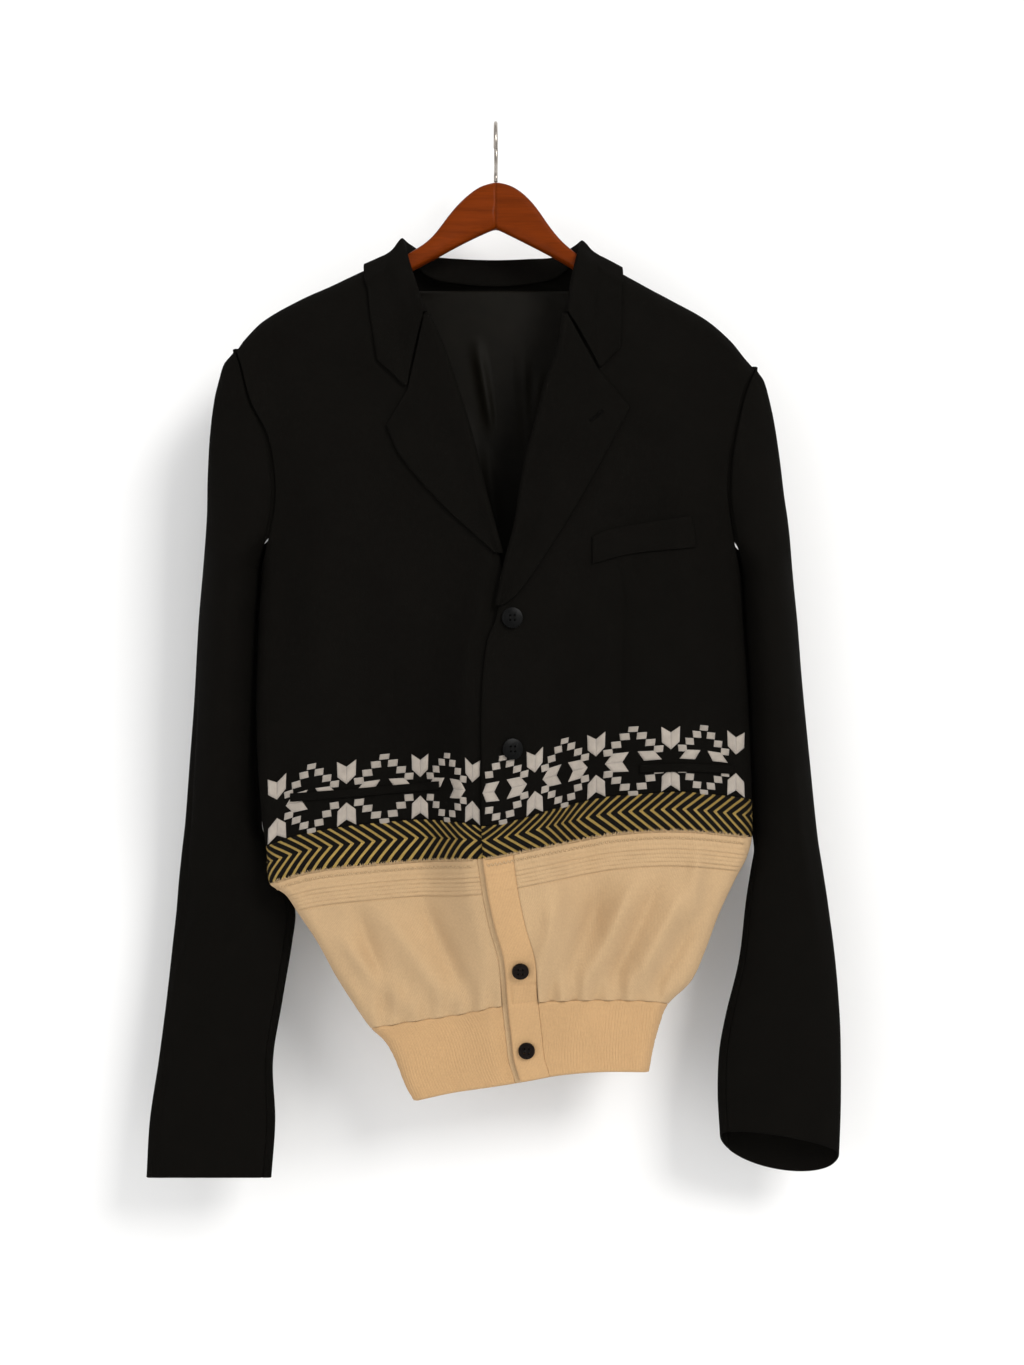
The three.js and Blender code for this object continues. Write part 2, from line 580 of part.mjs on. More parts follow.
// Collar: each station gives the foot of the stand inside the neck, the fold and, on the body,
// the middle and the edge of the fall. It runs from the right front end round the back of the neck.
const COLLAR_WALL = 1.8;
const FALL_LIFT = COLLAR_WALL + LAYER_GAP + 1;
const RIDGE_LIFT = 2.5;
const BACK_LIFT = 1.4;
const COLLAR = [
  { on: 'front', foot: [62, -179], fold: [66, -179], mid: [94.5, -229], edge: [112, -212] },
  { on: 'front', foot: [65, -166], fold: [68, -164], mid: [93, -200], edge: [113, -190] },
  { on: 'front', foot: [68, -149], fold: [71, -148], mid: [93, -172], edge: [113, -170] },
  { on: 'front', foot: [72, -132, -17], fold: [75, -130, -22], mid: [95, -150], edge: [113, -158] },
  { on: 'front', foot: [74, -126, -11], fold: [76.5, -121, -14], mid: [96, -142], edge: [114, -152] },
  { on: 'ridge', foot: [75, -121, -4], fold: [78, -115, -4], mid: [97, -136], edge: [114, -145] },
  { on: 'back', foot: [68, -136, 5], fold: [71, -120, 8], mid: [90, -145], edge: [108, -160] },
  { on: 'back', foot: [52, -149, 20], fold: [54, -130, 24], mid: [58, -156], edge: [72, -178] },
  { on: 'back', foot: [28, -154, 29], fold: [29, -132, 33], mid: [31, -158], edge: [38, -184] },
  { on: 'back', foot: [0, -156, 32], fold: [0, -133, 36], mid: [0, -158], edge: [0, -186] },
  { on: 'back', foot: [-30, -154, 29], fold: [-31, -132, 33], mid: [-33, -158], edge: [-40, -184] },
  { on: 'back', foot: [-56, -149, 20], fold: [-58, -129, 24], mid: [-62, -156], edge: [-76, -178] },
  { on: 'back', foot: [-73, -136, 5], fold: [-76, -119, 8], mid: [-95, -145], edge: [-112, -160] },
  { on: 'ridge', foot: [-80, -122, -4], fold: [-84, -113, -4], mid: [-102, -135], edge: [-118, -142] },
  { on: 'front', foot: [-79, -126, -11], fold: [-82, -121, -14], mid: [-101, -143], edge: [-117, -151] },
  { on: 'front', foot: [-77, -134, -17], fold: [-80, -131, -22], mid: [-99, -156], edge: [-114, -162] },
  { on: 'front', foot: [-71, -153], fold: [-73, -152], mid: [-93, -184], edge: [-112, -182] },
  { on: 'front', foot: [-66, -168], fold: [-69, -167], mid: [-88, -215], edge: [-109, -203] },
  { on: 'front', foot: [-61, -179], fold: [-65, -179], mid: [-80.5, -246], edge: [-106, -223] },
];
// The back's neck edge by x: above it the collar stands straight up
const NECK_EDGE = [
  { x: -110, z: -140 }, { x: -87, z: -131 }, { x: -64, z: -146 }, { x: -30, z: -154 }, { x: 0, z: -156 },
  { x: 30, z: -154 }, { x: 60, z: -146 }, { x: 82, z: -131 }, { x: 106, z: -142 },
];
const neckEdge = track(NECK_EDGE, 'x', 'z');

function collarColumns(station) {
  const depth = station.on === 'front' ? frontDepth : backDepth;
  const body = (x, z) => placed(x, depth(x, z), z);
  const lift = ([x, z], height) => {
    if (station.on === 'ridge') {
      const ridge = ridgeHeight(x);
      return placed(x, middle(x, ridge), ridge + height + RIDGE_LIFT);
    }
    if (station.on === 'back') return placed(x, depth(x, Math.min(z, neckEdge(x))) + height + BACK_LIFT, z);
    const low = Math.min(z, ridgeHeight(x) - 1.5);
    const across = body(x + 2, low).sub(body(x - 2, low));
    const down = body(x, low - 3).sub(body(x, low));
    return body(x, low).addScaledVector(down.cross(across).normalize(), height);
  };
  const between = (a, b, t) => [lerp(a[0], b[0], t), lerp(a[1], b[1], t)];
  const point = ([x, z, y], lifted) => placed(x, y ?? frontDepth(x, z) + lifted, z);
  const fold = point(station.fold, -LAPEL.rollLift);
  const foot = point(station.foot, WOOL + LAPEL.clearInside);
  const onWay = lift(between(station.fold, station.mid, 0.45), FALL_LIFT + 1.5);
  const rise = foot.clone().lerp(fold, 0.6).add(new THREE.Vector3(Math.sign(-station.fold[0]), 0, 0));
  return [
    foot, rise, fold, fold.clone().lerp(onWay, 0.4).add(new THREE.Vector3(0, 0, 1)), onWay,
    lift(between(station.fold, station.mid, 0.8), FALL_LIFT), lift(station.mid, FALL_LIFT),
    lift(between(station.mid, station.edge, 0.5), FALL_LIFT), lift(station.edge, FALL_LIFT),
  ];
}

function addCollar() {
  const columns = COLLAR.map(collarColumns);
  const lines = columns[0].map((_, k) => new THREE.CatmullRomCurve3(columns.map((row) => row[k])));
  const surface = (u, v) => {
    const across = clamp(v) * (lines.length - 1);
    const k = Math.min(Math.floor(across), lines.length - 2);
    return lines[k].getPoint(clamp(u)).lerp(lines[k + 1].getPoint(clamp(u)), across - k);
  };
  const stations = steps(2 * (COLLAR.length - 1));
  add('collar', wall(surface, stations, steps(lines.length - 1), COLLAR_WALL), blackWool());
}

// The lining of the back, where the neck shows it, with its centre pleat
const LINING_PATCH = { left: -60, right: 55, top: -169, bottom: -425 };
const LINING_GAP = 2.75;
const LINING_FOLDS = [
  { x1: -17, z1: -206, x2: -2, z2: -290, width: 5, depth: 4.5 },
  { x1: 6, z1: -196, x2: 5, z2: -330, width: 7, depth: -3 },
  { x1: -30, z1: -270, x2: -20, z2: -360, width: 7, depth: 3 },
];

function addLining() {
  const patchPlace = (u, v) => [
    lerp(LINING_PATCH.left, LINING_PATCH.right, u), lerp(LINING_PATCH.top, LINING_PATCH.bottom, v)];
  const depth = (x, z) => backDepth(x, z) - WOOL - LINING_GAP - LINING
    - Math.max(0, foldDepth(LINING_FOLDS, x, z));
  add('back_lining', wall(surfaceOf(patchPlace, depth, depth), steps(12), steps(8), LINING), blackLining());
}

// Sleeves. In the head, the seam with the body takes the place of the inner edge. turn is the
// share of the round, in degrees each way from the outer edge, that lies outside the armhole.
const UNDER_TURN = 150;
const SLEEVE_LEFT = {
  inward: 1,
  frontDepth: leftFrontDepth,
  head: [
    { z: -217, outer: -236.5, seam: -232.8, turn: 60 }, { z: -226, outer: -244, seam: -229, turn: 80 },
    { z: -240, outer: -248.5, seam: -225, turn: 98 }, { z: -259, outer: -253, seam: -220, turn: 110 },
    { z: -292, outer: -257, seam: -204, turn: 124 }, { z: -330, outer: -259, seam: -198, turn: 136 },
    { z: -359, outer: -259.5, seam: -199, turn: 145 }, { z: -378, outer: -260.5, seam: -203, turn: 150 },
  ],
  arm: [
    { z: -378, outer: -260.5, inner: -199, y: -6, front: 50, back: 62 },
    { z: -410, outer: -263, inner: -212.6, y: -4, front: 42, back: 46 },
    { z: -457, outer: -267, inner: -215.2, y: -2, front: 40, back: 42 },
    { z: -529, outer: -271, inner: -217, y: 2, front: 38, back: 42 },
    { z: -583, outer: -275, inner: -216.5, y: 8, front: 34, back: 38 },
    { z: -637, outer: -279, inner: -212.5, y: 17, front: 28, back: 32 },
    { z: -664, outer: -282, inner: -201, y: 21, front: 22, back: 26 },
    { z: -693, outer: -285, inner: -188, y: 23, front: 19, back: 24 },
    { z: -718, outer: -287, inner: -180, y: 23, front: 18, back: 22 },
    { z: -745, outer: -290, inner: -182.5, y: 22, front: 17, back: 21 },
    { z: -799, outer: -296, inner: -191.5, y: 18, front: 16, back: 19 },
    { z: -853, outer: -303, inner: -200, y: 14, front: 15, back: 17 },
    { z: -907, outer: -311, inner: -198, y: 11, front: 14, back: 16 },
    { z: -958, outer: -314, inner: -201.5, y: 9, front: 13, back: 15 },
  ],
  underarm: -409,
  cuff: { z: -958, outer: 0, inner: 0, front: 0, back: 0 },
};
const SLEEVE_RIGHT = {
  inward: -1,
  frontDepth,
  head: [
    { z: -233, outer: 236, seam: 232.8, turn: 60 }, { z: -241, outer: 241.5, seam: 228, turn: 80 },
    { z: -256, outer: 246, seam: 222, turn: 98 }, { z: -279, outer: 251, seam: 216, turn: 112 },
    { z: -312, outer: 256, seam: 210, turn: 126 }, { z: -345, outer: 260, seam: 209, turn: 138 },
    { z: -365, outer: 263, seam: 211, turn: 145 }, { z: -382, outer: 265, seam: 214.5, turn: 150 },
  ],
  arm: [
    { z: -382, outer: 265, inner: 211, y: -6, front: 50, back: 62 },
    { z: -419, outer: 268, inner: 224.5, y: -4, front: 40, back: 44 },
    { z: -460, outer: 272, inner: 227.5, y: -3, front: 40, back: 42 },
    { z: -511, outer: 276, inner: 230.5, y: -2, front: 38, back: 40 },
    { z: -583, outer: 283, inner: 234, y: 0, front: 36, back: 38 },
    { z: -651, outer: 290, inner: 234.5, y: 2, front: 32, back: 36 },
    { z: -683, outer: 295, inner: 229.5, y: 4, front: 30, back: 32 },
    { z: -709, outer: 299, inner: 225.5, y: 4, front: 27, back: 29 },
    { z: -763, outer: 306, inner: 219, y: 3, front: 24, back: 26 },
    { z: -813, outer: 310, inner: 207, y: 2, front: 22, back: 24 },
    { z: -845, outer: 311, inner: 201.5, y: 2, front: 21, back: 23 },
    { z: -889, outer: 311, inner: 200, y: 2, front: 18, back: 22 },
    { z: -930, outer: 309.5, inner: 202, y: 1, front: 17, back: 21 },
  ],
  underarm: -418,
  cuff: { z: -930, outer: -7, inner: 10, front: 8, back: -22 },
};
const CUFF_RUN = 110;
const DROP_UNIT = 1000;
const UNDERARM_DROP = 6;

function sleeveSurface(sleeve) {
  const headTracks = ['outer', 'seam', 'turn'].map((name) => track(sleeve.head, 'z', name));
  const armTracks = ['outer', 'inner', 'y', 'front', 'back'].map((name) => track(sleeve.arm, 'z', name));
  const joint = sleeve.arm[0].z;
  const gap = SEAM + 0.4;

  // The section at a height: outer edge, width, middle depth and the depths of its two halves
  function section(z) {
    const [outer, seam, turn] = headTracks.map((value) => value(z));
    const seamX = seam - sleeve.inward * gap;
    const half = Math.abs(seamX - outer) / (1 - Math.cos(radians(turn)));
    const mid = middle(seam, z);
    const front = (mid - sleeve.frontDepth(seam, z)) / Math.sin(radians(turn));
    const back = (backDepth(seam, z) - mid) / Math.sin(radians(turn));
    if (z >= joint) return { outer, half, turn, mid, front, back };
    const [armOuter, inner, y, armFront, armBack] = armTracks.map((value) => value(z));
    const blend = smooth((joint - z) / (joint - sleeve.arm[1].z));
    const armHalf = Math.abs(inner - armOuter) / 2;
    return {
      outer: armOuter,
      half: armHalf,
      turn: UNDER_TURN,
      mid: lerp(mid, y, blend),
      front: lerp(front, armFront, blend),
      back: lerp(back, armBack, blend),
    };
  }

  return (degrees, height) => {
    const angle = radians(degrees);
    const near = smooth((height - sleeve.cuff.z) / -CUFF_RUN + 1);
    const across = (1 - Math.cos(angle)) / 2;
    const bow = Math.sin(angle) > 0 ? sleeve.cuff.front : sleeve.cuff.back;
    const tail = lerp(sleeve.cuff.outer, sleeve.cuff.inner, across) + bow * Math.abs(Math.sin(angle));
    const { outer, half, mid, front, back } = section(height);
    const x = outer + sleeve.inward * half * (1 - Math.cos(angle));
    const y = mid - (Math.sin(angle) > 0 ? front : back) * Math.sin(angle);
    return placed(x, y, height + tail * near);
  };
}

function addSleeve(name, sleeve) {
  const around = sleeveSurface(sleeve);
  const turnAt = track(sleeve.head, 'z', 'turn');
  const joint = sleeve.arm[0].z;
  const seamTurn = 0.8;
  const top = (u, drop) => {
    const z = -drop * DROP_UNIT;
    const turn = z >= joint ? turnAt(z) : UNDER_TURN;
    return around(sleeve.inward * u * (turn - (z >= joint ? 0 : seamTurn)), z);
  };
  const headRows = sleeve.head.map((row) => row.z);
  const armRows = steps(11, sleeve.underarm - UNDERARM_DROP, sleeve.cuff.z);
  const columns = [-1, -0.9, -0.75, -0.6, -0.42, -0.22, 0, 0.22, 0.42, 0.6, 0.75, 0.9, 1];
  const rows = [...headRows, ...armRows].map((z) => -z / DROP_UNIT);
  add(`${name}_top`, wall(top, columns, rows, WOOL), blackWool());
  const fall = (z) => (joint - z) / (joint - armRows[0]);
  const under = (u, drop) => {
    const degrees = lerp(UNDER_TURN + seamTurn, 360 - UNDER_TURN - seamTurn, u);
    const rise = 1 - Math.abs(degrees - 180) / (180 - UNDER_TURN);
    const start = lerp(joint, sleeve.underarm, Math.sqrt(clamp(rise)));
    const z = -drop * DROP_UNIT;
    return around(sleeve.inward * degrees, z > armRows[0] ? lerp(start, armRows[0], clamp(fall(z))) : z);
  };
  const underRows = [joint, ...armRows].map((z) => -z / DROP_UNIT);
  add(`${name}_under`, wall(under, steps(4), underRows, WOOL), blackWool());
}

// Braid: the band that ends the black cloth. Its raised bars meet in a row of arrows that points to
// the closing; each row of bars leans by the slant.
const BAR_PITCH = 9.74;
const BAR_PLACES = [{ at: 0, up: 0 }, { at: 0.22, up: 1 }, { at: 0.8, up: 1 }];
const BAR_SLANT = 20;
const BAR_END_RUN = 24;
const SPINE = 0.44;

// pointing is 1 where the arrows point to the right, seen from outside, and -1 to the left
function addBraid(name, { place, depth, otherDepth, width, pointing }) {
  const flat = surfaceOf(place, depth, otherDepth);
  const count = Math.round(width / BAR_PITCH);
  const columns = [
    ...Array.from({ length: count }, (_, k) => BAR_PLACES.map(({ at }) => (k + at) / count)).flat(), 1];
  const heights = new Map(columns.map((u, k) => [u, u === 1 ? 0 : BAR_PLACES[k % BAR_PLACES.length].up]));
  const slanted = (u, v) => {
    const near = smooth(Math.min(u, 1 - u) * width / BAR_END_RUN);
    const lean = pointing * BAR_SLANT / width * near;
    const reach = v < SPINE ? v / SPINE : (1 - v) / (1 - SPINE);
    return flat(u + lean * (reach - 0.5), v);
  };
  const raise = (u) => BAR_HEIGHT * heights.get(u);
  const rows = [0, SPINE, 1];
  add(name, wall(slanted, columns, rows, BRAID, {
    raise, innerColumns: steps(Math.round(width / 13)), innerRows: [0, 1] }), goldBraid());
}

// The closing, as an edge curve between two lines across
const closingRun = (top, bottom, shift) => {
  const from = corner(top, upperEdge, shift);
  const to = corner(bottom, upperEdge, shift);
  return descent(upperEdge, from[1], to[1], shift);
};
const across = (top, bottom, left, right) => patch({
  top: run(top, left(0)[0], right(0)[0]),
  bottom: run(bottom, left(1)[0], right(1)[0]),
  left,
  right,
});
const lowered = (line, drop) => (x) => line(x) - drop;
const sideRun = (side, top, bottom) => {
  const from = corner(top, side);
  const to = corner(bottom, side);
  return descent(side, from[1], to[1]);
};

const PLACKET = { width: 27, overlap: 20, tuck: 5, wall: 2.4 };
const WAISTBAND = 2;
// How far the left braid goes on under the right one
const HIDDEN_EDGE = 23;

function addBraids() {
  const top = lowered(trimTop, WIDE_SEAM);
  const left = across(top, trimBottom, sideRun(sideLeft, top, trimBottom),
    closingRun(top, trimBottom, HIDDEN_EDGE));
  const right = across(top, trimBottom, closingRun(top, trimBottom, 0),
    sideRun(sideRight, top, trimBottom));
  const back = across(top, trimBottom, sideRun(sideRight, top, trimBottom),
    sideRun(sideLeft, top, trimBottom));
  addBraid('braid_left', {
    place: left, depth: leftFrontDepth, otherDepth: backDepth, width: 218, pointing: 1 });
  addBraid('braid_right', {
    place: right, depth: frontDepth, otherDepth: backDepth, width: 243, pointing: -1 });
  addBraid('braid_back', {
    place: back, depth: backDepth, otherDepth: frontDepth, width: 437, pointing: 1 });
}

// Knit: tucks across the top, folds and gathers down to the waistband
const TUCKS = [0.103, 0.132, 0.159, 0.184, 0.21];
const TUCK = { height: 0.9, half: 0.012 };
const LOWER_ROWS = [0.235, 0.34, 0.45, 0.56, 0.67, 0.78, 0.87, 0.94, 1];
const KNIT_ROWS = [0, 0.04, ...TUCKS.flatMap((v) => [v - TUCK.half, v]), ...LOWER_ROWS];
const KNIT_INSIDE_ROWS = [0, 0.08, 0.16, ...LOWER_ROWS];

function addKnit() {
  const top = lowered(trimBottom, WIDE_SEAM);
  const raise = (u, v) => (TUCKS.includes(v) ? TUCK.height : 0);
  const gathered = (depth, sign) => (x, z) => depth(x, z)
    + sign * gatherDepth(x, z, ribTop(x)) * smooth(insideSides(x, z) / 25);
  const front = gathered(frontDepth, -1);
  const leftFront = gathered(leftFrontDepth, -1);
  const back = gathered(backDepth, 1);
  const left = across(top, ribTop, sideRun(sideLeft, top, ribTop),
    closingRun(top, ribTop, -PLACKET.tuck - EDGE_GAP));
  const right = across(top, ribTop, closingRun(top, ribTop, PLACKET.width + EDGE_GAP),
    sideRun(sideRight, top, ribTop));
  const whole = across(top, ribTop, sideRun(sideRight, top, ribTop), sideRun(sideLeft, top, ribTop));
  const leftColumns = [0, 0.006, 0.03, 0.07, ...steps(14, 0.12, 1)];
  const rightColumns = mirrored([0, 0.006, 0.03, 0.07, ...steps(14, 0.12, 1)]);
  const backColumns = [0, 0.003, 0.015, 0.04, ...steps(14, 0.07, 0.93), 0.96, 0.985, 0.997, 1];
  const tucked = (surface, columns) =>
    wall(surface, columns, KNIT_ROWS, KNIT, { raise, innerRows: KNIT_INSIDE_ROWS });
  add('knit_left', tucked(surfaceOf(left, leftFront, back), leftColumns), creamKnit());
  add('knit_right', tucked(surfaceOf(right, front, back), rightColumns), creamKnit());
  add('knit_back', tucked(surfaceOf(whole, back, front), backColumns), creamKnit());

  const bandTop = lowered(ribTop, EDGE_GAP);
  const leftBand = across(bandTop, hem, sideRun(sideLeft, bandTop, hem),
    closingRun(bandTop, hem, -PLACKET.tuck - EDGE_GAP));
  const rightBand = across(bandTop, hem, closingRun(bandTop, hem, PLACKET.width + EDGE_GAP),
    sideRun(sideRight, bandTop, hem));
  const backBand = across(bandTop, hem, sideRun(sideRight, bandTop, hem), sideRun(sideLeft, bandTop, hem));
  const bandRows = steps(3);
  const banded = (surface, columns) => wall(surface, columns, bandRows, WAISTBAND);
  add('waistband_left', banded(surfaceOf(leftBand, leftFrontDepth, backDepth), leftColumns), creamKnit());
  add('waistband_right', banded(surfaceOf(rightBand, frontDepth, backDepth), rightColumns), creamKnit());
  add('waistband_back', banded(surfaceOf(backBand, backDepth, frontDepth), backColumns), creamKnit());

  const upper = across(top, hem, closingRun(top, hem, 0), closingRun(top, hem, PLACKET.width));
  const under = across(top, hem, closingRun(top, hem, -PLACKET.tuck), closingRun(top, hem, PLACKET.overlap));
  add('placket_upper', wall(surfaceOf(upper, frontDepth, backDepth), steps(2), steps(12), PLACKET.wall),
    creamKnit());
  add('placket_under', wall(surfaceOf(under, leftFrontDepth, backDepth), steps(2), steps(12), PLACKET.wall),
    creamKnit());
}

// Pocket welts, laid on the fronts
const WELT = { wall: 1.6, gap: 1 };
const LEFT_WELT_GAP = 2.7;
const BREAST_WELT = {
  top: [[87, -382], [105, -375], [176, -363]],
  bottom: [[87, -406], [123, -397], [180, -391]],
};
const HIP_WELT_LEFT = {
  top: [[-184, -613], [-120, -608], [-50, -602]],
  bottom: [[-184, -620], [-120, -615], [-50, -609]],
};
const HIP_WELT_RIGHT = {
  top: [[130, -587], [172, -586], [214, -588]],
  bottom: [[130, -594], [172, -593], [214, -595]],
};

function addWelt(name, { top, bottom }, depth, gap = WELT.gap) {
  const place = patch({
    top: flowing(top),
    bottom: flowing(bottom),
    left: cornered([top[0], bottom[0]]),
    right: cornered([top.at(-1), bottom.at(-1)]),
  });
  const surface = lifted(surfaceOf(place, depth, backDepth), gap + WELT.wall);
  add(name, wall(surface, steps(7), steps(2), WELT.wall), blackWool());
}

// Buttons, sewn on with a short shank of thread
const BUTTON_GAP = 0.5;
const BUTTON_SIDES = 12;
const BUTTONS = [
  { name: 'button_front_1', x: 15, z: -455, diameter: 18.5 },
  { name: 'button_front_2', x: 15, z: -573, diameter: 18.5 },
  { name: 'button_placket_1', x: 22.5, z: -772, diameter: 15 },
  { name: 'button_placket_2', x: 28, z: -844, diameter: 15 },
];

function addButton({ name, x, z, diameter }) {
  const r = diameter / 2;
  const profile = [[0, 0], [r - 0.8, 0], [r, 1], [r, 2.4], [r - 0.9, 3.2], [r - 2.6, 2.5], [0, 2.5]];
  const geometry = new THREE.LatheGeometry(profile.map(([a, b]) => new THREE.Vector2(a, b)), BUTTON_SIDES);
  const surface = (u, v) => placed(x + u, frontDepth(x + u, z - v), z - v);
  const across = surface(4, 0).sub(surface(-4, 0));
  const down = surface(0, 4).sub(surface(0, -4));
  const normal = down.cross(across).normalize();
  const mesh = add(name, geometry, blackButton());
  mesh.quaternion.setFromUnitVectors(new THREE.Vector3(0, 1, 0), normal);
  mesh.position.copy(surface(0, 0)).addScaledVector(normal, BUTTON_GAP + crownRise(surface, normal, r));
}

// How far the cloth rises towards a button's rim, past the point under its middle
function crownRise(surface, normal, radius) {
  const centre = surface(0, 0);
  const rises = steps(11, 0, 2 * Math.PI).map((angle) =>
    surface(radius * Math.cos(angle), radius * Math.sin(angle)).sub(centre).dot(normal));
  return Math.max(0, ...rises);
}

// Hanger: two arms of wood glued at the middle, and a wire hook
const ARM_LEFT = [
  { x: 0.17, top: -63, bottom: -105 }, { x: -9, top: -65, bottom: -109 },
  { x: -20, top: -70, bottom: -114 }, { x: -36, top: -85, bottom: -122 },
  { x: -47, top: -100, bottom: -128 }, { x: -58, top: -115, bottom: -134 },
  { x: -72, top: -124, bottom: -141 }, { x: -80, top: -128.5, bottom: -146 },
  { x: -90, top: -136, bottom: -151 }, { x: -126, top: -153, bottom: -169 },
  { x: -176, top: -177, bottom: -193 }, { x: -200, top: -190, bottom: -204 },
  { x: -206, top: -195, bottom: -203 },
];
const ARM_RIGHT = [
  { x: 0.56, top: -63, bottom: -105 }, { x: 9, top: -64, bottom: -109 },
  { x: 23, top: -70, bottom: -116 }, { x: 37, top: -85, bottom: -123 },
  { x: 47, top: -101, bottom: -128 }, { x: 58, top: -115, bottom: -134 },
  { x: 67, top: -123, bottom: -139 }, { x: 74, top: -128.5, bottom: -144 },
  { x: 85, top: -138, bottom: -152 }, { x: 112, top: -153, bottom: -168 },
  { x: 158, top: -177, bottom: -193 }, { x: 193, top: -195, bottom: -209 },
  { x: 199, top: -200, bottom: -208 },
];
const ARM_HALF_DEPTH = 7;
const ARM_SECTION = [
  [0.5, 1], [0.87, 0.8], [1, 0.45], [1, -0.45], [0.87, -0.8], [0.5, -1],
  [-0.5, -1], [-0.87, -0.8], [-1, -0.45], [-1, 0.45], [-0.87, 0.8], [-0.5, 1],
];

// A closed solid through rings of equal count, with flat ends
function loft(rings) {
  const skin = new Skin();
  const grid = skin.grid(rings);
  const count = rings[0].length;
  for (let j = 1; j < grid.length; j += 1) {
    for (let i = 0; i < count; i += 1) {
      const next = (i + 1) % count;
      skin.triangles.push([grid[j - 1][i], grid[j - 1][next], grid[j][next]]);
      skin.triangles.push([grid[j - 1][i], grid[j][next], grid[j][i]]);
    }
  }
  for (let i = 1; i < count - 1; i += 1) {
    skin.triangles.push([grid[0][0], grid[0][i + 1], grid[0][i]]);
    skin.triangles.push([grid.at(-1)[0], grid.at(-1)[i], grid.at(-1)[i + 1]]);
  }
  if (signedVolume(skin) < 0) skin.triangles.forEach((triangle) => triangle.reverse());
  return skin.geometry();
}

function signedVolume({ points, triangles }) {
  return triangles.reduce((sum, [a, b, c]) =>
    sum + points[a].dot(points[b].clone().cross(points[c])) / 6, 0);
}

function addArm(name, table) {
  const rings = table.map(({ x, top, bottom }, k) => {
    const [centre, half] = [(top + bottom) / 2, (top - bottom) / 2];
    const depth = k === table.length - 1 ? ARM_HALF_DEPTH * 0.5 : ARM_HALF_DEPTH;
    return ARM_SECTION.map(([y, z]) => {
      const point = placed(x, middle(x, -200), centre + half * z);
      point.y += depth * y;
      return point;
    });
  });
  add(name, loft(rings), brownWood());
}

// The hook stands front to back: up from the wood, round behind and over to the front
const HOOK = { wire: 3.6, bend: 20, sides: 8, shankFoot: -51.3, mouth: 205, neck: -60, turns: 13 };

function addHook() {
  const centre = HOOK.wire / 2 - HOOK.bend;
  const arc = steps(HOOK.turns, radians(HOOK.neck), radians(HOOK.mouth)).map((angle) =>
    new THREE.Vector3(0, HOOK.bend * Math.cos(angle), centre + HOOK.bend * Math.sin(angle)));
  const neckTop = HOOK.shankFoot + 6;
  const shank = [HOOK.shankFoot, neckTop].map((z) => new THREE.Vector3(0, 0, z));
  const curve = new THREE.CatmullRomCurve3([...shank, ...arc], false, 'centripetal');
  const rings = steps(HOOK.turns + 6).map((t) => {
    const point = curve.getPointAt(t);
    const along = curve.getTangentAt(t);
    const side = new THREE.Vector3(1, 0, 0);
    const up = along.clone().cross(side);
    return Array.from({ length: HOOK.sides }, (_, k) => {
      const angle = 2 * Math.PI * k / HOOK.sides;
      return point.clone().addScaledVector(side, HOOK.wire / 2 * Math.cos(angle))
        .addScaledVector(up, HOOK.wire / 2 * Math.sin(angle));
    });
  });
  add('hanger_hook', loft(rings), bareSteel());
}

addArm('hanger_arm_left', ARM_LEFT);
addArm('hanger_arm_right', ARM_RIGHT);
addHook();
addBody();
addLapels();
addCollar();
addLining();
addSleeve('sleeve_left', SLEEVE_LEFT);
addSleeve('sleeve_right', SLEEVE_RIGHT);
addWelt('breast_welt', BREAST_WELT, frontDepth);
addWelt('pocket_welt_left', HIP_WELT_LEFT, leftFrontDepth, LEFT_WELT_GAP);
addWelt('pocket_welt_right', HIP_WELT_RIGHT, frontDepth);
addBraids();
addKnit();
BUTTONS.forEach(addButton);

export default blazer;
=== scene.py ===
"""Builds a tailored blazer with a knitted lower body, hanging closed on a wooden hanger.

Sizes are in millimetres unless a name says otherwise. X runs to the right of someone facing the
blazer, Y away from them and Z up, from the inside top of the hook.
"""

import math

import bmesh
import bpy
import numpy as np
from bpy.props import FloatProperty, FloatVectorProperty, PointerProperty
from mathutils import Matrix, Vector


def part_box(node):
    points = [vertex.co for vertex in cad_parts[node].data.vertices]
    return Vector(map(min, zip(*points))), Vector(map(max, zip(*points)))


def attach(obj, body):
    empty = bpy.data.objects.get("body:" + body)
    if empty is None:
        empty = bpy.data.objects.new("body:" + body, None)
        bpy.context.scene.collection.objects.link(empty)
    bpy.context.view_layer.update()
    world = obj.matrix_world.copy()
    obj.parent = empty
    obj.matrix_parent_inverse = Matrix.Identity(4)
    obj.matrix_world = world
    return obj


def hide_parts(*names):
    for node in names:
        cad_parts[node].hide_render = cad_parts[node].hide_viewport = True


bl_info = {
    "name": "Blazer on a Hanger",
    "version": (1, 0, 0),
    "blender": (4, 5, 0),
    "location": "View3D > Sidebar > Blazer",
    "description": "Builds a blazer with a knitted lower body on a wooden hanger",
    "category": "Add Mesh",
}

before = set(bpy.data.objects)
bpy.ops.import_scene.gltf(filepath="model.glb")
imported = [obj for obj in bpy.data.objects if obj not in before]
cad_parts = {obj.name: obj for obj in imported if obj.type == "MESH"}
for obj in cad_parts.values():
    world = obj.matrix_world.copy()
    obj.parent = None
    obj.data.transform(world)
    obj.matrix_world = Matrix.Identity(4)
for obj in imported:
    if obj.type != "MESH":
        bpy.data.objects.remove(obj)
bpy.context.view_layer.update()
MM = 0.001
FINENESS = 1.0

# Thicknesses and gaps
WOOL, KNIT, LINING, BRAID, BAND = 2.0, 1.6, 1.0, 1.8, 2.0
SIDE_SEAM, WIDE_SEAM = 0.6, 0.7
LAYER_GAP = 0.6


# Numbers and curves
def lerp(a, b, t):
    return a + (b - a) * t


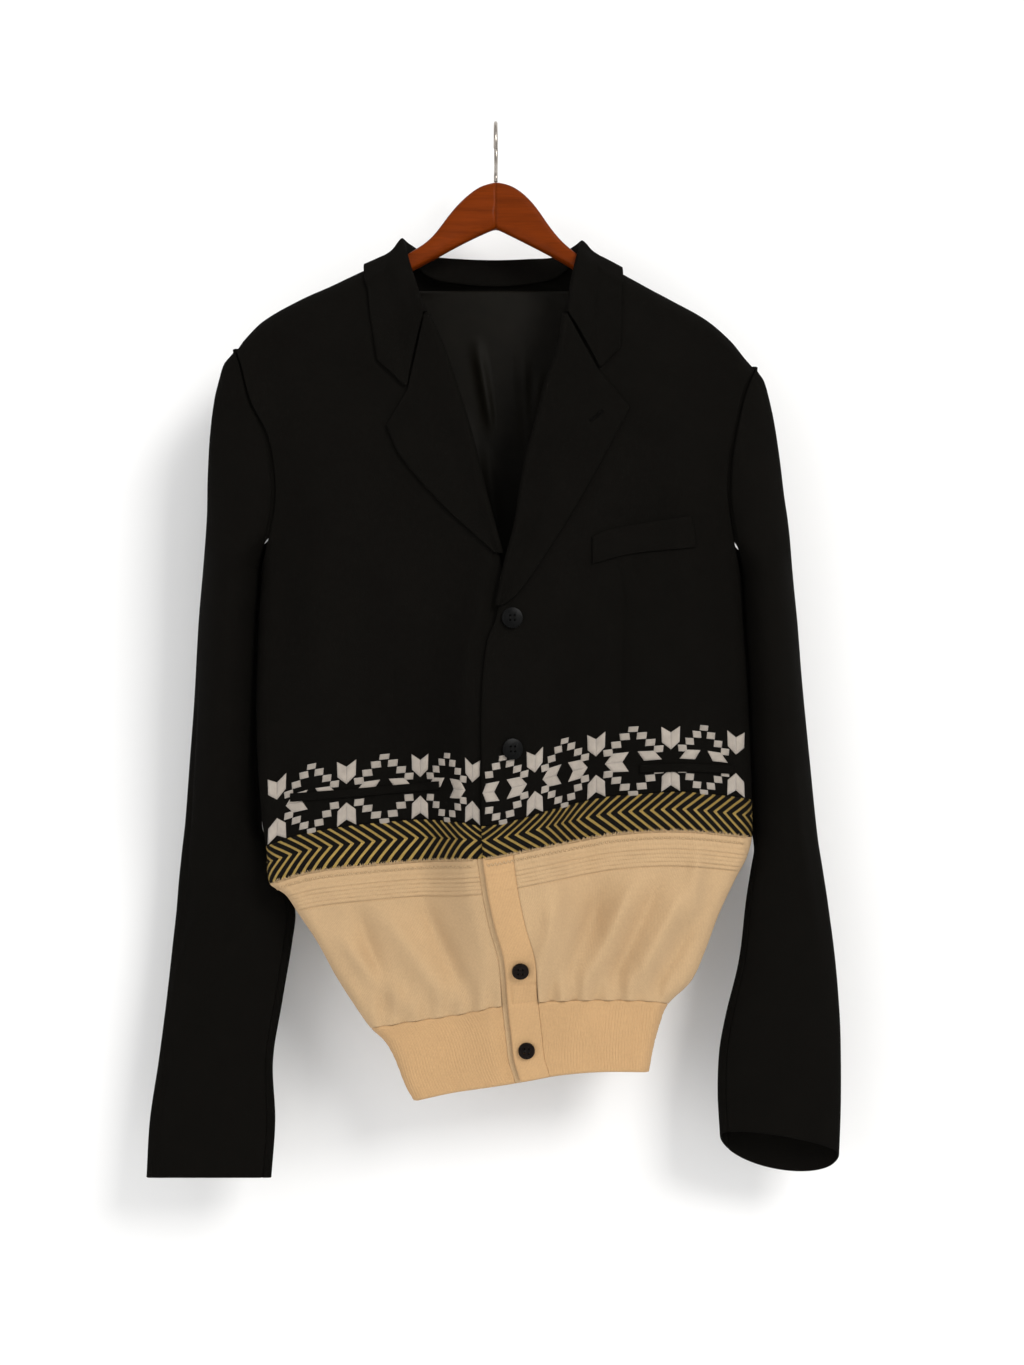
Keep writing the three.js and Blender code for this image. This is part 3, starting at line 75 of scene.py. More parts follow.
def smooth(t):
    t = np.clip(t, 0, 1)
    return t * t * (3 - 2 * t)


def quarter_round(t):
    return np.sqrt(1 - (1 - np.clip(t, 0, 1)) ** 2)


def dome(t):
    """A half ellipse: 1 in the middle and 0 from one either side."""
    return np.sqrt(np.clip(1 - t ** 2, 0, 1))


def bell(t):
    return np.exp(-(t ** 2))


def track(rows):
    """A smooth curve through rows of (place, value)."""
    rows = sorted(rows)
    keys = np.array([row[0] for row in rows], float)
    values = np.array([row[1] for row in rows], float)
    spots = np.arange(len(rows))
    low, high = np.maximum(spots - 1, 0), np.minimum(spots + 1, len(rows) - 1)
    slopes = (values[high] - values[low]) / (keys[high] - keys[low])

    def at(place):
        place = np.clip(place, keys[0], keys[-1])
        i = np.clip(np.searchsorted(keys, place, side="right") - 1, 0, len(keys) - 2)
        span = keys[i + 1] - keys[i]
        t = (place - keys[i]) / span
        start, end = slopes[i] * span, slopes[i + 1] * span
        rise = values[i + 1] - values[i]
        return (values[i] + start * t + (3 * rise - 2 * start - end) * t ** 2
                + (start + end - 2 * rise) * t ** 3)

    return at


def columns_of(rows):
    """One track for each column of a table whose first column is the place."""
    return [track([(row[0], row[k]) for row in rows]) for k in range(1, len(rows[0]))]


END_STEP = 0.01


def extended(curve):
    """The curve, going on straight past its ends."""
    def at(t):
        t = np.asarray(t, float)
        inside = np.clip(t, 0, 1)
        x, z = curve(inside)
        before, after = np.minimum(t, 0) / END_STEP, np.maximum(t - 1, 0) / END_STEP
        (x0, z0), (x1, z1) = curve(np.array(0.0)), curve(np.array(END_STEP))
        (x3, z3), (x2, z2) = curve(np.array(1.0)), curve(np.array(1 - END_STEP))
        return (x + (x1 - x0) * before + (x3 - x2) * after,
                z + (z1 - z0) * before + (z3 - z2) * after)

    return at


def flowing(points, corners=False):
    """A smooth curve through points, or a line with corners, by share of its length."""
    points = np.array(points, float)
    chords = np.linalg.norm(np.diff(points, axis=0), axis=1)
    knots = np.concatenate([[0], np.cumsum(chords if corners else np.sqrt(chords))])
    dense = np.unique(np.concatenate([np.linspace(0, knots[-1], 1200), knots]))
    if corners:
        x, z = (np.interp(dense, knots, points[:, k]) for k in (0, 1))
    else:
        x, z = (track(list(zip(knots, points[:, k])))(dense) for k in (0, 1))
    reach = np.concatenate([[0], np.cumsum(np.hypot(np.diff(x), np.diff(z)))])
    return extended(lambda t: (np.interp(t * reach[-1], reach, x), np.interp(t * reach[-1], reach, z)))


def joined(parts):
    """Curves one after the other, as (curve, share of the whole) pairs."""
    ends = np.cumsum([share for _, share in parts])

    def at(t):
        t = np.asarray(t, float)
        x, z = np.zeros_like(t), np.zeros_like(t)
        start = 0.0
        for k, ((curve, share), end) in enumerate(zip(parts, ends)):
            mine = (t > start if k else t >= 0) & ((t <= end) if k < len(parts) - 1 else (t <= 2))
            cx, cz = curve(np.clip((t - start) / share, 0, 1))
            x, z = np.where(mine, cx, x), np.where(mine, cz, z)
            start = end
        return x, z

    return extended(at)


def patch(top, bottom, left, right):
    """A patch between four edge curves that share their corners."""
    def place(u, v):
        t, b, l, r = top(u), bottom(u), left(v), right(v)
        t0, t1, b0, b1 = (curve(np.array(end)) for curve, end in
                          ((top, 0.0), (top, 1.0), (bottom, 0.0), (bottom, 1.0)))
        return tuple(
            lerp(t[k], b[k], v) + lerp(l[k], r[k], u)
            - lerp(lerp(t0[k], t1[k], u), lerp(b0[k], b1[k], u), v) for k in (0, 1))

    return place


# The form of the body, read from straight in front on the plane of the fronts
EYE_X, EYE_Z, EYE_DISTANCE, EYE_PLANE = 15.0, -513.0, 1400.0, -35.0


def placed(x, y, z):
    scale = (EYE_DISTANCE + y - EYE_PLANE) / EYE_DISTANCE
    return np.stack(np.broadcast_arrays(
        EYE_X + (x - EYE_X) * scale, y, EYE_Z + (z - EYE_Z) * scale), axis=-1)


side_left = track([
    (-120, -246), (-215, -246), (-260, -232), (-300, -222), (-350, -214), (-408, -210), (-457, -213),
    (-529, -215), (-583, -214), (-637, -210), (-664, -206), (-694, -203), (-704, -189), (-720, -178),
    (-747, -160), (-778, -143), (-806, -125), (-824, -112), (-835, -100), (-850, -91), (-875, -81),
    (-895, -70)])
side_right = track([
    (-120, 246), (-231, 246), (-260, 236), (-300, 228), (-350, 223), (-417, 221), (-511, 227),
    (-583, 230), (-619, 231), (-652, 231), (-671, 226), (-690, 216), (-722, 201), (-754, 189),
    (-782, 176), (-803, 155), (-820, 148), (-842, 142), (-870, 137)])
ridge_height = track([
    (-233, -215), (-226, -205), (-209, -188), (-176, -169), (-147, -156), (-126, -146), (-104, -136),
    (-83, -126), (-60, -112), (0, -95), (55, -112), (76, -126), (97, -136), (121, -149), (141, -160),
    (158, -169), (190, -187), (212, -206), (225, -222), (233, -231)])
front_fullness, back_fullness, closing_height, back_edge = columns_of([
    (-130, -34, 38, 0, 26), (-220, -40, 42, 0, 30), (-330, -42, 42, 3, 30), (-455, -40, 36, 22, 22),
    (-560, -38, 28, 38, 8), (-650, -36, 22, 45, 4), (-705, -33, 16, 39, 4), (-760, -29, 10, 26, 4),
    (-815, -24, 5, 12, 4), (-890, -21, 2, 6, 4)])
upper_edge = track([
    (-118, 75), (-150, 68), (-180, 65), (-212, 60), (-247, 48), (-265, 44), (-315, 31), (-368, 22),
    (-405, 12), (-455, 1), (-473, -6), (-499, -10), (-536, -12), (-583, -12), (-646, -12), (-670, -11),
    (-687, -9), (-706, -6), (-734, 0), (-763, 8), (-799, 11), (-835, 15), (-852, 17), (-875, 24)])
trim_top = track([
    (-210, -661), (-174, -649), (-133, -642), (-85, -637), (-61, -636), (-29, -639), (-10, -642),
    (21, -636), (55, -626), (98, -616), (133, -613), (167, -611), (211, -615), (232, -618)])
trim_bottom = track([
    (-205, -694), (-166, -683), (-117, -677), (-68, -673), (-11, -671), (38, -662), (73, -655),
    (107, -649), (150, -646), (184, -647), (232, -652)])
rib_top = track([
    (-112, -824), (-74, -818), (-34, -812), (14, -803), (55, -800), (97, -799), (140, -800), (156, -802)])
hem = track([(-72, -889), (-40, -882), (0, -876), (30, -871), (58, -866), (94, -863), (138, -863)])

SHOULDER_SWEEP, SWEEP_REACH, SWEEP_POWER, SWEEP_END, SWEEP_FADE = 26.0, 210.0, 1.6, 250.0, 300.0
MIDDLE_LEFT, MIDDLE_RIGHT, BODY_HALF, SIDE_REACH = -15.0, -9.0, 230.0, 90.0
TOP_ROUND, TOP_REACH, FRONT_SIDE_ROUND, FRONT_SIDE_REACH = 12.0, 60.0, 12.0, 60.0


def middle(x, z):
    """The surface halfway between front and back."""
    shoulder = -SHOULDER_SWEEP * (np.abs(x) / SWEEP_REACH) ** SWEEP_POWER
    side = lerp(MIDDLE_LEFT, MIDDLE_RIGHT, np.clip((x + BODY_HALF) / (2 * BODY_HALF), 0, 1))
    return lerp(shoulder, side, smooth((-z - SWEEP_END) / SWEEP_FADE))


def swell(distance, height, radius, reach):
    share = np.clip(radius / np.abs(height), 0, 1)
    return share * quarter_round(distance / radius) + (1 - share) * smooth(distance / reach)


def inside_sides(x, z):
    return np.maximum(0, np.minimum(x - side_left(z), side_right(z) - x))


def below_ridge(x, z):
    return np.maximum(0, ridge_height(x) - z)


CLOSING_RISE, CLOSING_TOP, CLOSING_FALL, TOP_SHARE = 60.0, 46.0, 50.0, 0.8


def closing_shape(distance):
    """The closing is a ridge: steep on the left, gentle and then steep again on the right."""
    rising = smooth(1 + distance / CLOSING_RISE)
    gentle = lerp(1, TOP_SHARE, smooth(distance / CLOSING_TOP))
    falling = TOP_SHARE * (1 - smooth((distance - CLOSING_TOP) / CLOSING_FALL))
    return np.where(distance < 0, rising, np.where(distance < CLOSING_TOP, gentle, falling))


# Soft folds: x and z of each end, half width, and how far they stand out or sink in
FRONT_FOLDS = [
    (-92, -500, -84, -645, 12, -3.5), (-150, -300, -168, -560, 20, 3), (112, -410, 110, -570, 9, -2.5),
    (150, -230, 196, -520, 20, 3.5), (-108, -712, -38, -806, 12, 8.5), (-150, -735, -72, -815, 10, 7),
    (-70, -702, -22, -800, 9, -6), (-128, -705, -90, -820, 8, -6), (60, -695, 34, -795, 9, 7),
    (100, -690, 58, -792, 10, -7.5), (128, -686, 80, -792, 9, 8.5), (152, -684, 100, -792, 8, -6.5),
    (176, -690, 120, -794, 9, 8.5), (190, -712, 138, -796, 8, -6), (184, -655, 176, -742, 8, 6)]
BACK_FOLDS = [
    (-60, -230, -78, -600, 24, 3), (70, -240, 92, -590, 24, 3), (4, -360, -4, -640, 16, -2.5),
    (-118, -690, -66, -805, 14, 4.5), (-50, -700, -20, -800, 13, -3.5), (36, -680, 24, -795, 13, 4.5),
    (98, -675, 66, -790, 13, -4), (156, -670, 108, -790, 13, 4.5)]


def fold_depth(folds, x, z):
    depth = 0.0
    for x1, z1, x2, z2, width, height in folds:
        dx, dz = x2 - x1, z2 - z1
        length = math.hypot(dx, dz)
        along = ((x - x1) * dx + (z - z1) * dz) / length ** 2
        across = ((x - x1) * dz - (z - z1) * dx) / length
        fade = smooth((0.5 - np.abs(along - 0.5)) / 0.4 + 0.25)
        depth = depth + height * fade * bell(across / width)
    return depth


BROAD_SWAY, FINE_SWAY = 0.8, 0.3
GATHER_HEIGHT, GATHER_REACH, GATHER_PITCH, GATHER_WANDER = 2.2, 42.0, 19.0, 0.35


def sway(x, z):
    """The small unevenness of hanging cloth."""
    broad = BROAD_SWAY * np.sin(x / 31 + z / 83 + 0.4) * np.sin(z / 57 + x / 140 + 1.3)
    fine = FINE_SWAY * np.sin(x / 13 - z / 41 + 0.7) * np.sin(z / 23 + x / 60)
    return broad + fine


def gather_depth(x, z):
    """Gathers where the knit is drawn into the waistband."""
    near = smooth(1 - np.abs(z - rib_top(x)) / GATHER_REACH)
    wander = 1 + GATHER_WANDER * np.sin(x / 31)
    return GATHER_HEIGHT * near * wander * np.sin(2 * np.pi * (x + 2 * np.sin(x / 23)) / GATHER_PITCH)


# How far from the sides, and below the ridge, the folds and the sway come in
FRONT_CALM, BACK_CALM, FRONT_SWAY_CALM, BACK_SWAY_CALM, BACK_SHIFT = 30.0, 40.0, 60.0, 80.0, 90.0
UNDERLAP_START, UNDERLAP_RUN = 20.0, 16.0


def front_depth(x, z):
    mid = middle(x, z)
    height = front_fullness(z) - mid
    share = (swell(inside_sides(x, z), height, FRONT_SIDE_ROUND, FRONT_SIDE_REACH)
             * swell(below_ridge(x, z), height, TOP_ROUND, TOP_REACH))
    closing = closing_height(z) * closing_shape(x - upper_edge(z))
    still = smooth(inside_sides(x, z) / FRONT_CALM)
    moving = sway(x, z) * smooth(below_ridge(x, z) / FRONT_SWAY_CALM)
    fold = (fold_depth(FRONT_FOLDS, x, z) + moving) * still
    return mid - SIDE_SEAM / 2 + height * share - closing - fold


def back_depth(x, z):
    mid = middle(x, z)
    height = back_fullness(z) - mid
    share = (swell(inside_sides(x, z), height, back_edge(z), SIDE_REACH)
             * swell(below_ridge(x, z), height, TOP_ROUND, TOP_REACH))
    still = smooth(inside_sides(x, z) / BACK_CALM)
    moving = sway(x + BACK_SHIFT, z) * smooth(below_ridge(x, z) / BACK_SWAY_CALM)
    fold = (fold_depth(BACK_FOLDS, x, z) + moving) * still
    return mid + SIDE_SEAM / 2 + height * share + fold


underlap_sink = track([(-380, 7.2), (-450, 7), (-485, 4.6), (-890, 4.6)])


def left_front_depth(x, z):
    under = smooth((x - upper_edge(z) + UNDERLAP_START) / UNDERLAP_RUN)
    return front_depth(x, z) + underlap_sink(z) * under


def body_point(x, z, depth, other_depth):
    """A body surface. Past a side or the shoulder ridge it turns over to the other side."""
    ridge = ridge_height(x)
    over = z > ridge + 1e-6
    z_in = np.where(over, 2 * ridge - z, z)
    left, right = side_left(z_in), side_right(z_in)
    past_left, past_right = x < left - 1e-6, x > right + 1e-6
    x_in = np.where(past_left, 2 * left - x, np.where(past_right, 2 * right - x, x))
    turned = over | past_left | past_right
    return placed(x_in, np.where(turned, other_depth(x_in, z_in), depth(x_in, z_in)), z_in)


def surface_of(place, depth, other_depth):
    return lambda u, v: body_point(*place(u, v), depth, other_depth)


def normals_of(surface, u, v, step=0.002):
    across = surface(u + step, v) - surface(u - step, v)
    down = surface(u, v + step) - surface(u, v - step)
    normal = np.cross(down, across)
    return normal / np.maximum(np.linalg.norm(normal, axis=-1, keepdims=True), 1e-12)


def over_surface(depth, x, z, lift):
    """Points lifted off a body surface along its normal, at places seen from in front."""
    x, z = np.broadcast_arrays(np.asarray(x, float), np.asarray(z, float))
    point = placed(x, depth(x, z), z)
    across = placed(x + 1, depth(x + 1, z), z) - placed(x - 1, depth(x - 1, z), z)
    down = placed(x, depth(x, z - 1), z - 1) - placed(x, depth(x, z + 1), z + 1)
    normal = np.cross(down, across)
    normal /= np.linalg.norm(normal, axis=-1, keepdims=True)
    outward = np.where(normal[..., 1:2] * (1 if depth is back_depth else -1) < 0, -normal, normal)
    return point + outward * np.asarray(lift)[..., None]


# Lines and edges
def run(line, start, end):
    return extended(lambda t: (lerp(start, end, t), line(lerp(start, end, t))))


def descent(edge, start, end, shift=0.0):
    return extended(lambda t: (edge(lerp(start, end, t)) + shift, lerp(start, end, t)))


def corner(line, edge, shift=0.0):
    z = line(0.0)
    for _ in range(12):
        z = line(edge(z) + shift)
    return float(edge(z) + shift), float(z)


def lowered(line, drop):
    return lambda x: line(x) - drop


def edge_run(edge, top, bottom, shift=0.0):
    return descent(edge, corner(top, edge, shift)[1], corner(bottom, edge, shift)[1], shift)


def between(top, bottom, left, right):
    """A patch whose top and bottom follow lines across, and whose sides are given curves."""
    ends = [float(curve(np.array(end))[0]) for curve, end in
            ((left, 0.0), (right, 0.0), (left, 1.0), (right, 1.0))]
    return patch(run(top, ends[0], ends[1]), run(bottom, ends[2], ends[3]), left, right)


def spaced(size, step, dense_start=False, dense_end=False):
    """Even steps of about the given size, with a few closer ones at an end that is rounded."""
    count = max(2, round(size / (step * FINENESS)))
    values = list(np.linspace(0, 1, count + 1))
    close = [0.12 / size, 0.5 / size, 1.2 / size]
    if dense_start:
        values += close
    if dense_end:
        values += [1 - value for value in close]
    return np.array(sorted(set(values)))


# Objects
def new_object(name, vertices, faces, material, uv=None):
    mesh = bpy.data.meshes.new(name)
    mesh.from_pydata((np.asarray(vertices) * MM).tolist(), [], faces)
    if uv is not None:
        loops = np.empty(len(mesh.loops), dtype=np.int32)
        mesh.loops.foreach_get("vertex_index", loops)
        layer = mesh.uv_layers.new(name="UVMap")
        layer.data.foreach_set("uv", np.asarray(uv, dtype=np.float32)[loops].ravel())
    mesh.polygons.foreach_set("use_smooth", np.full(len(mesh.polygons), True))
    mesh.update()
    obj = bpy.data.objects.new(name, mesh)
    obj.data.materials.append(material)
    bpy.context.scene.collection.objects.link(obj)
    return obj


def grid_faces(rows, columns, start=0, flip=False):
    index = np.arange(rows * columns).reshape(rows, columns) + start
    a, b = index[:-1, :-1].ravel(), index[:-1, 1:].ravel()
    c, d = index[1:, :-1].ravel(), index[1:, 1:].ravel()
    return np.stack([a, b, d, c] if flip else [a, c, d, b], axis=1).tolist()


def border(rows, columns):
    index = np.arange(rows * columns).reshape(rows, columns)
    return np.concatenate([index[0, :-1], index[:-1, -1], index[-1, :0:-1], index[:0:-1, 0]])


EDGE_BULGE = 0.3


def cloth(name, outer, inner, uv, material):
    """A wall of cloth between two grids of points, with a rounded edge."""
    rows, columns = outer.shape[:2]
    count = rows * columns
    flat_outer, flat_inner = outer.reshape(-1, 3), inner.reshape(-1, 3)
    loop = border(rows, columns)
    step_in = np.array([columns] * (columns - 1) + [-1] * (rows - 1)
                       + [-columns] * (columns - 1) + [1] * (rows - 1))
    edge = (flat_outer[loop] + flat_inner[loop]) / 2
    inside = (flat_outer[loop + step_in] + flat_inner[loop + step_in]) / 2
    outward = edge - inside
    outward /= np.maximum(np.linalg.norm(outward, axis=1, keepdims=True), 1e-9)
    thickness = np.linalg.norm(flat_outer[loop] - flat_inner[loop], axis=1, keepdims=True)
    rim = edge + outward * thickness * EDGE_BULGE
    vertices = np.concatenate([flat_outer, flat_inner, rim])
    faces = grid_faces(rows, columns) + grid_faces(rows, columns, count, True)
    k = np.arange(len(loop))
    after = (k + 1) % len(loop)
    middle_ring, inner_ring = 2 * count + k, loop + count
    faces += np.stack([loop, loop[after], middle_ring[after], middle_ring], axis=1).tolist()
    faces += np.stack([middle_ring, middle_ring[after], inner_ring[after], inner_ring], axis=1).tolist()
    flat_uv = uv.reshape(-1, 2)
    return new_object(name, vertices, faces, material, np.concatenate([flat_uv, flat_uv, flat_uv[loop]]))


def settle(obj, slot, *nodes):
    """Fixes a finished piece to the body and hides the solids it stands for. The slot is not used."""
    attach(obj, "root")
    if nodes:
        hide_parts(*nodes)


def face_out(obj):
    mesh = bmesh.new()
    mesh.from_mesh(obj.data)
    bmesh.ops.recalc_face_normals(mesh, faces=mesh.faces[:])
    mesh.to_mesh(obj.data)
    mesh.free()


def run_lengths(points, axis):
    steps = np.linalg.norm(np.diff(points, axis=axis), axis=-1)
    start = np.zeros_like(np.take(steps, [0], axis=axis))
    return np.concatenate([start, np.cumsum(steps, axis=axis)], axis=axis)


def cloth_uv(points):
    """Where each point lay in the flat cloth, in metres."""
    middle_row, middle_column = points.shape[0] // 2, points.shape[1] // 2
    across = run_lengths(points, 1)
    across = across - across[:, middle_column:middle_column + 1]
    down = run_lengths(points, 0)
    down = down - down[middle_row:middle_row + 1, :]
    return np.stack([across, -down], axis=-1) * MM


def declare_sheet(points):
    """Works out the width and the length of the cut, measured along the cloth; nothing is done with them."""
    width = float(run_lengths(points, 1)[:, -1].max()) * MM
    length = float(run_lengths(points, 0)[-1, :].max()) * MM


def panel(name, surface, us, vs, thickness, material, slot, nodes=(), raised=None,
          rests_on=(), uv=None, is_sheet=True):
    """A panel of cloth on a surface, with relief on its outer face alone."""
    u, v = np.meshgrid(us, vs)
    points = surface(u, v)
    normals = normals_of(surface, u, v)
    lift = raised(u, v, points) if raised else np.zeros_like(u)
    obj = cloth(name, points + normals * lift[..., None], points - normals * thickness,
                cloth_uv(points) if uv is None else uv(u, v, points), material)
    settle(obj, slot, *nodes)
    if is_sheet:
        declare_sheet(points)


def seen_places(points):
    """Back from points in space to places seen from in front."""
    scale = (EYE_DISTANCE + points[..., 1] - EYE_PLANE) / EYE_DISTANCE
    return EYE_X + (points[..., 0] - EYE_X) / scale, EYE_Z + (points[..., 2] - EYE_Z) / scale


def groove(x, z, line, depth, width):
    """How far a sewn line across the cloth sinks in."""
    total = np.zeros_like(x)
    for (x1, z1), (x2, z2) in zip(line[:-1], line[1:]):
        dx, dz = x2 - x1, z2 - z1
        t = np.clip(((x - x1) * dx + (z - z1) * dz) / (dx * dx + dz * dz), 0, 1)
        distance = np.hypot(x - x1 - t * dx, z - z1 - t * dz)
        total = np.minimum(total, -depth * bell(distance / width))
    return total


# Materials
# The colour sockets of a mix node, by number because their names come several times
MIX_FIRST, MIX_SECOND, MIX_RESULT = 6, 7, 2


class Finish:
    """A material under construction: its tree, its shader and short ways to add nodes."""

    def __init__(self, name, colour, roughness, **sockets):
        self.material = bpy.data.materials.new(name)
        self.material.use_nodes = True
        self.tree = self.material.node_tree
        self.shader = self.tree.nodes["Principled BSDF"]
        self.shader.inputs["Base Color"].default_value = (*colour[:3], 1)
        self.shader.inputs["Roughness"].default_value = roughness
        for key, value in sockets.items():
            self.shader.inputs[key.replace("_", " ")].default_value = value

    def add(self, kind, **settings):
        node = self.tree.nodes.new(kind)
        for key, value in settings.items():
            if hasattr(node, key):
                setattr(node, key, value)
            else:
                self.put(node.inputs[key.replace("_", " ")], value)
        return node

    def put(self, socket, value):
        if isinstance(value, bpy.types.NodeSocket):
            self.tree.links.new(value, socket)
        else:
            socket.default_value = value

    def calc(self, operation, a, b=0.0, c=0.0):
        node = self.add("ShaderNodeMath", operation=operation)
        for socket, value in zip(node.inputs, (a, b, c)):
            self.put(socket, value)
        return node.outputs[0]

    def uv(self):
        node = self.add("ShaderNodeSeparateXYZ", Vector=self.add("ShaderNodeTexCoord").outputs["UV"])
        return node.outputs[0], node.outputs[1]

    def noise(self, scale, detail=2.0, stretch=None):
        place = self.add("ShaderNodeTexCoord").outputs["Object"]
        if stretch:
            place = self.add("ShaderNodeMapping", Vector=place, Scale=stretch).outputs[0]
        return self.add("ShaderNodeTexNoise", Vector=place, Scale=scale, Detail=detail).outputs["Fac"]

    def mix(self, amount, first, second):
        node = self.add("ShaderNodeMix", data_type="RGBA")
        self.put(node.inputs["Factor"], amount)
        self.put(node.inputs[MIX_FIRST], first)
        self.put(node.inputs[MIX_SECOND], second)
        return node.outputs[MIX_RESULT]

    def bump(self, height, distance, strength=1.0):
        below = self.shader.inputs["Normal"].links
        node = self.add("ShaderNodeBump", Height=height, Distance=distance, Strength=strength)
        if below:
            self.put(node.inputs["Normal"], below[0].from_socket)
        self.put(self.shader.inputs["Normal"], node.outputs[0])

    def colour(self, socket):
        self.put(self.shader.inputs["Base Color"], socket)

    def roughness(self, socket):
        self.put(self.shader.inputs["Roughness"], socket)


def rgba(colour, share=1.0):
    return (colour[0] * share, colour[1] * share, colour[2] * share, 1)


def wave(finish, value, period):
    """A sine from 0 to 1 along a value in metres."""
    turns = finish.calc("MULTIPLY", value, 2 * math.pi / (period * MM))
    return finish.calc("MULTIPLY_ADD", finish.calc("SINE", turns), 0.5, 0.5)


def make_wool(settings):
    finish = Finish("black_wool", settings.wool_colour, 0.88, Specular_IOR_Level=0.02)
    u, v = finish.uv()
    twill = wave(finish, finish.calc("ADD", u, v), 1.1)
    weft = wave(finish, finish.calc("SUBTRACT", u, v), 0.8)
    weave = finish.calc("MULTIPLY_ADD", weft, 0.4, twill)
    crepe = finish.noise(700, 3)
    finish.bump(finish.calc("ADD", weave, crepe), 0.0003, 0.7)
    mottle = finish.noise(38, 4)
    shade = finish.mix(finish.calc("MULTIPLY_ADD", crepe, 0.7, finish.calc("MULTIPLY", mottle, 0.5)),
                       rgba(settings.wool_colour, 0.65), rgba(settings.wool_colour, 1.5))
    finish.colour(shade)
    finish.roughness(finish.calc("MULTIPLY_ADD", mottle, 0.14, 0.8))
    return finish.material


def make_lining():
    finish = Finish("black_lining", (0.006, 0.005, 0.0035), 0.5, Specular_IOR_Level=0.07)
    u, v = finish.uv()
    weave = finish.calc("ADD", wave(finish, u, 0.7), wave(finish, v, 0.7))
    finish.bump(weave, 0.0001, 0.5)
    finish.colour(finish.mix(finish.noise(60, 3), (0.0035, 0.003, 0.002, 1), (0.007, 0.0058, 0.0038, 1)))
    finish.roughness(finish.calc("MULTIPLY_ADD", finish.noise(25, 2), 0.2, 0.42))
    return finish.material


# Of a bar's width, how much is gold, and how far down the band its points lie
GOLD_SHARE, BAR_SPINE = 0.34, 0.44


def make_braid(settings):
    finish = Finish("gold_and_black_braid", settings.gold_colour, 0.42, Specular_IOR_Level=0.08)
    u, v = finish.uv()
    phase = finish.calc("FRACT", u)
    gold = finish.calc("LESS_THAN", phase, GOLD_SHARE)
    twist = wave(finish, finish.calc("MULTIPLY_ADD", phase, 0.0022, v), 1.25)
    wrap = wave(finish, v, 0.6)
    flecks = finish.noise(900, 2)
    # The twist and the wrap, which also shape the relief, lighten the colour on their crests and darken it
    # between them: painted shade and highlight on the strands. The flecks are tone at random.
    bright = finish.mix(finish.calc("MULTIPLY_ADD", twist, 0.6, finish.calc("MULTIPLY", flecks, 0.4)),
                        rgba(settings.gold_colour, 0.42), rgba(settings.gold_colour, 1.45))
    dark = finish.mix(wrap, (0.0022, 0.0018, 0.0015, 1), (0.0065, 0.005, 0.0035, 1))
    finish.colour(finish.mix(gold, dark, bright))
    finish.put(finish.shader.inputs["Metallic"], finish.calc("MULTIPLY", gold, 0.55))
    finish.roughness(finish.calc("MULTIPLY_ADD", gold, -0.32, 0.72))
    relief = finish.calc("MULTIPLY_ADD", finish.calc("MULTIPLY", twist, gold), 1.5,
                         finish.calc("MULTIPLY", wrap, 0.35))
    finish.bump(relief, 0.00045, 0.9)
    return finish.material


def make_thread(settings):
    finish = Finish("white_satin_thread", settings.thread_colour, 0.5, Sheen_Weight=0.35,
                    Sheen_Roughness=0.35)
    u, v = finish.uv()
    strand = wave(finish, v, 0.55)
    waver = finish.noise(420, 3)
    finish.bump(finish.calc("MULTIPLY_ADD", waver, 0.8, strand), 0.0003, 0.8)
    patchy = finish.noise(130, 3)
    # The strands, which also shape the relief, lighten the colour on their tops and darken it between them:
    # painted shade between the strands, with patchy tone at random on top.
    painted_shade_and_tone = finish.calc("MULTIPLY_ADD", strand, 0.35, finish.calc("MULTIPLY", patchy, 0.75))
    finish.colour(finish.mix(painted_shade_and_tone, rgba(settings.thread_colour, 0.55), rgba(settings.thread_colour, 1.12)))
    finish.roughness(finish.calc("MULTIPLY_ADD", patchy, 0.25, 0.38))
    return finish.material


def make_knit(name, colour, stitch, row, depth):
    """Fine stockinette: columns of small V-shaped stitches."""
    finish = Finish(name, colour, 0.85, Specular_IOR_Level=0.3, Sheen_Weight=0.06, Sheen_Roughness=0.5)
    u, v = finish.uv()
    column = finish.calc("MULTIPLY", u, 1 / (stitch * MM))
    lean = finish.calc("PINGPONG", column, 0.5)
    climb = finish.calc("MULTIPLY_ADD", v, 1 / (row * MM), finish.calc("MULTIPLY", lean, 1.1))
    turns = finish.calc("MULTIPLY", climb, 2 * math.pi)
    loop = finish.calc("MULTIPLY_ADD", finish.calc("SINE", turns), 0.5, 0.5)
    rib = finish.calc("SINE", finish.calc("MULTIPLY", finish.calc("FRACT", column), math.pi))
    stitches = finish.calc("MULTIPLY", finish.calc("MULTIPLY_ADD", loop, 0.55, 0.45), rib)
    fuzz = finish.noise(1400, 3)
    finish.bump(finish.calc("MULTIPLY_ADD", fuzz, 0.55, stitches), depth, 0.8)
    cloud = finish.noise(22, 4)
    speck = finish.noise(520, 2)
    # The stitches, which also shape the relief, lighten the colour on the loops and darken it between them
    # and between the columns: painted shade in the gaps, mixed with specks and clouds of tone at random.
    painted_shade_and_tone = finish.calc("MULTIPLY_ADD", stitches, 0.3,
                       finish.calc("MULTIPLY_ADD", speck, 0.45, finish.calc("MULTIPLY", cloud, 0.35)))
    finish.colour(finish.mix(painted_shade_and_tone, rgba(colour, 0.68), rgba(colour, 1.14)))
    finish.roughness(finish.calc("MULTIPLY_ADD", fuzz, 0.2, 0.75))
    return finish.material


def make_plain_thread(name, colour):
    finish = Finish(name, colour, 0.7, Specular_IOR_Level=0.1)
    finish.bump(finish.noise(1500, 2), 0.0002, 0.6)
    finish.colour(finish.mix(finish.noise(300, 2), rgba(colour, 0.7), rgba(colour, 1.15)))
    return finish.material


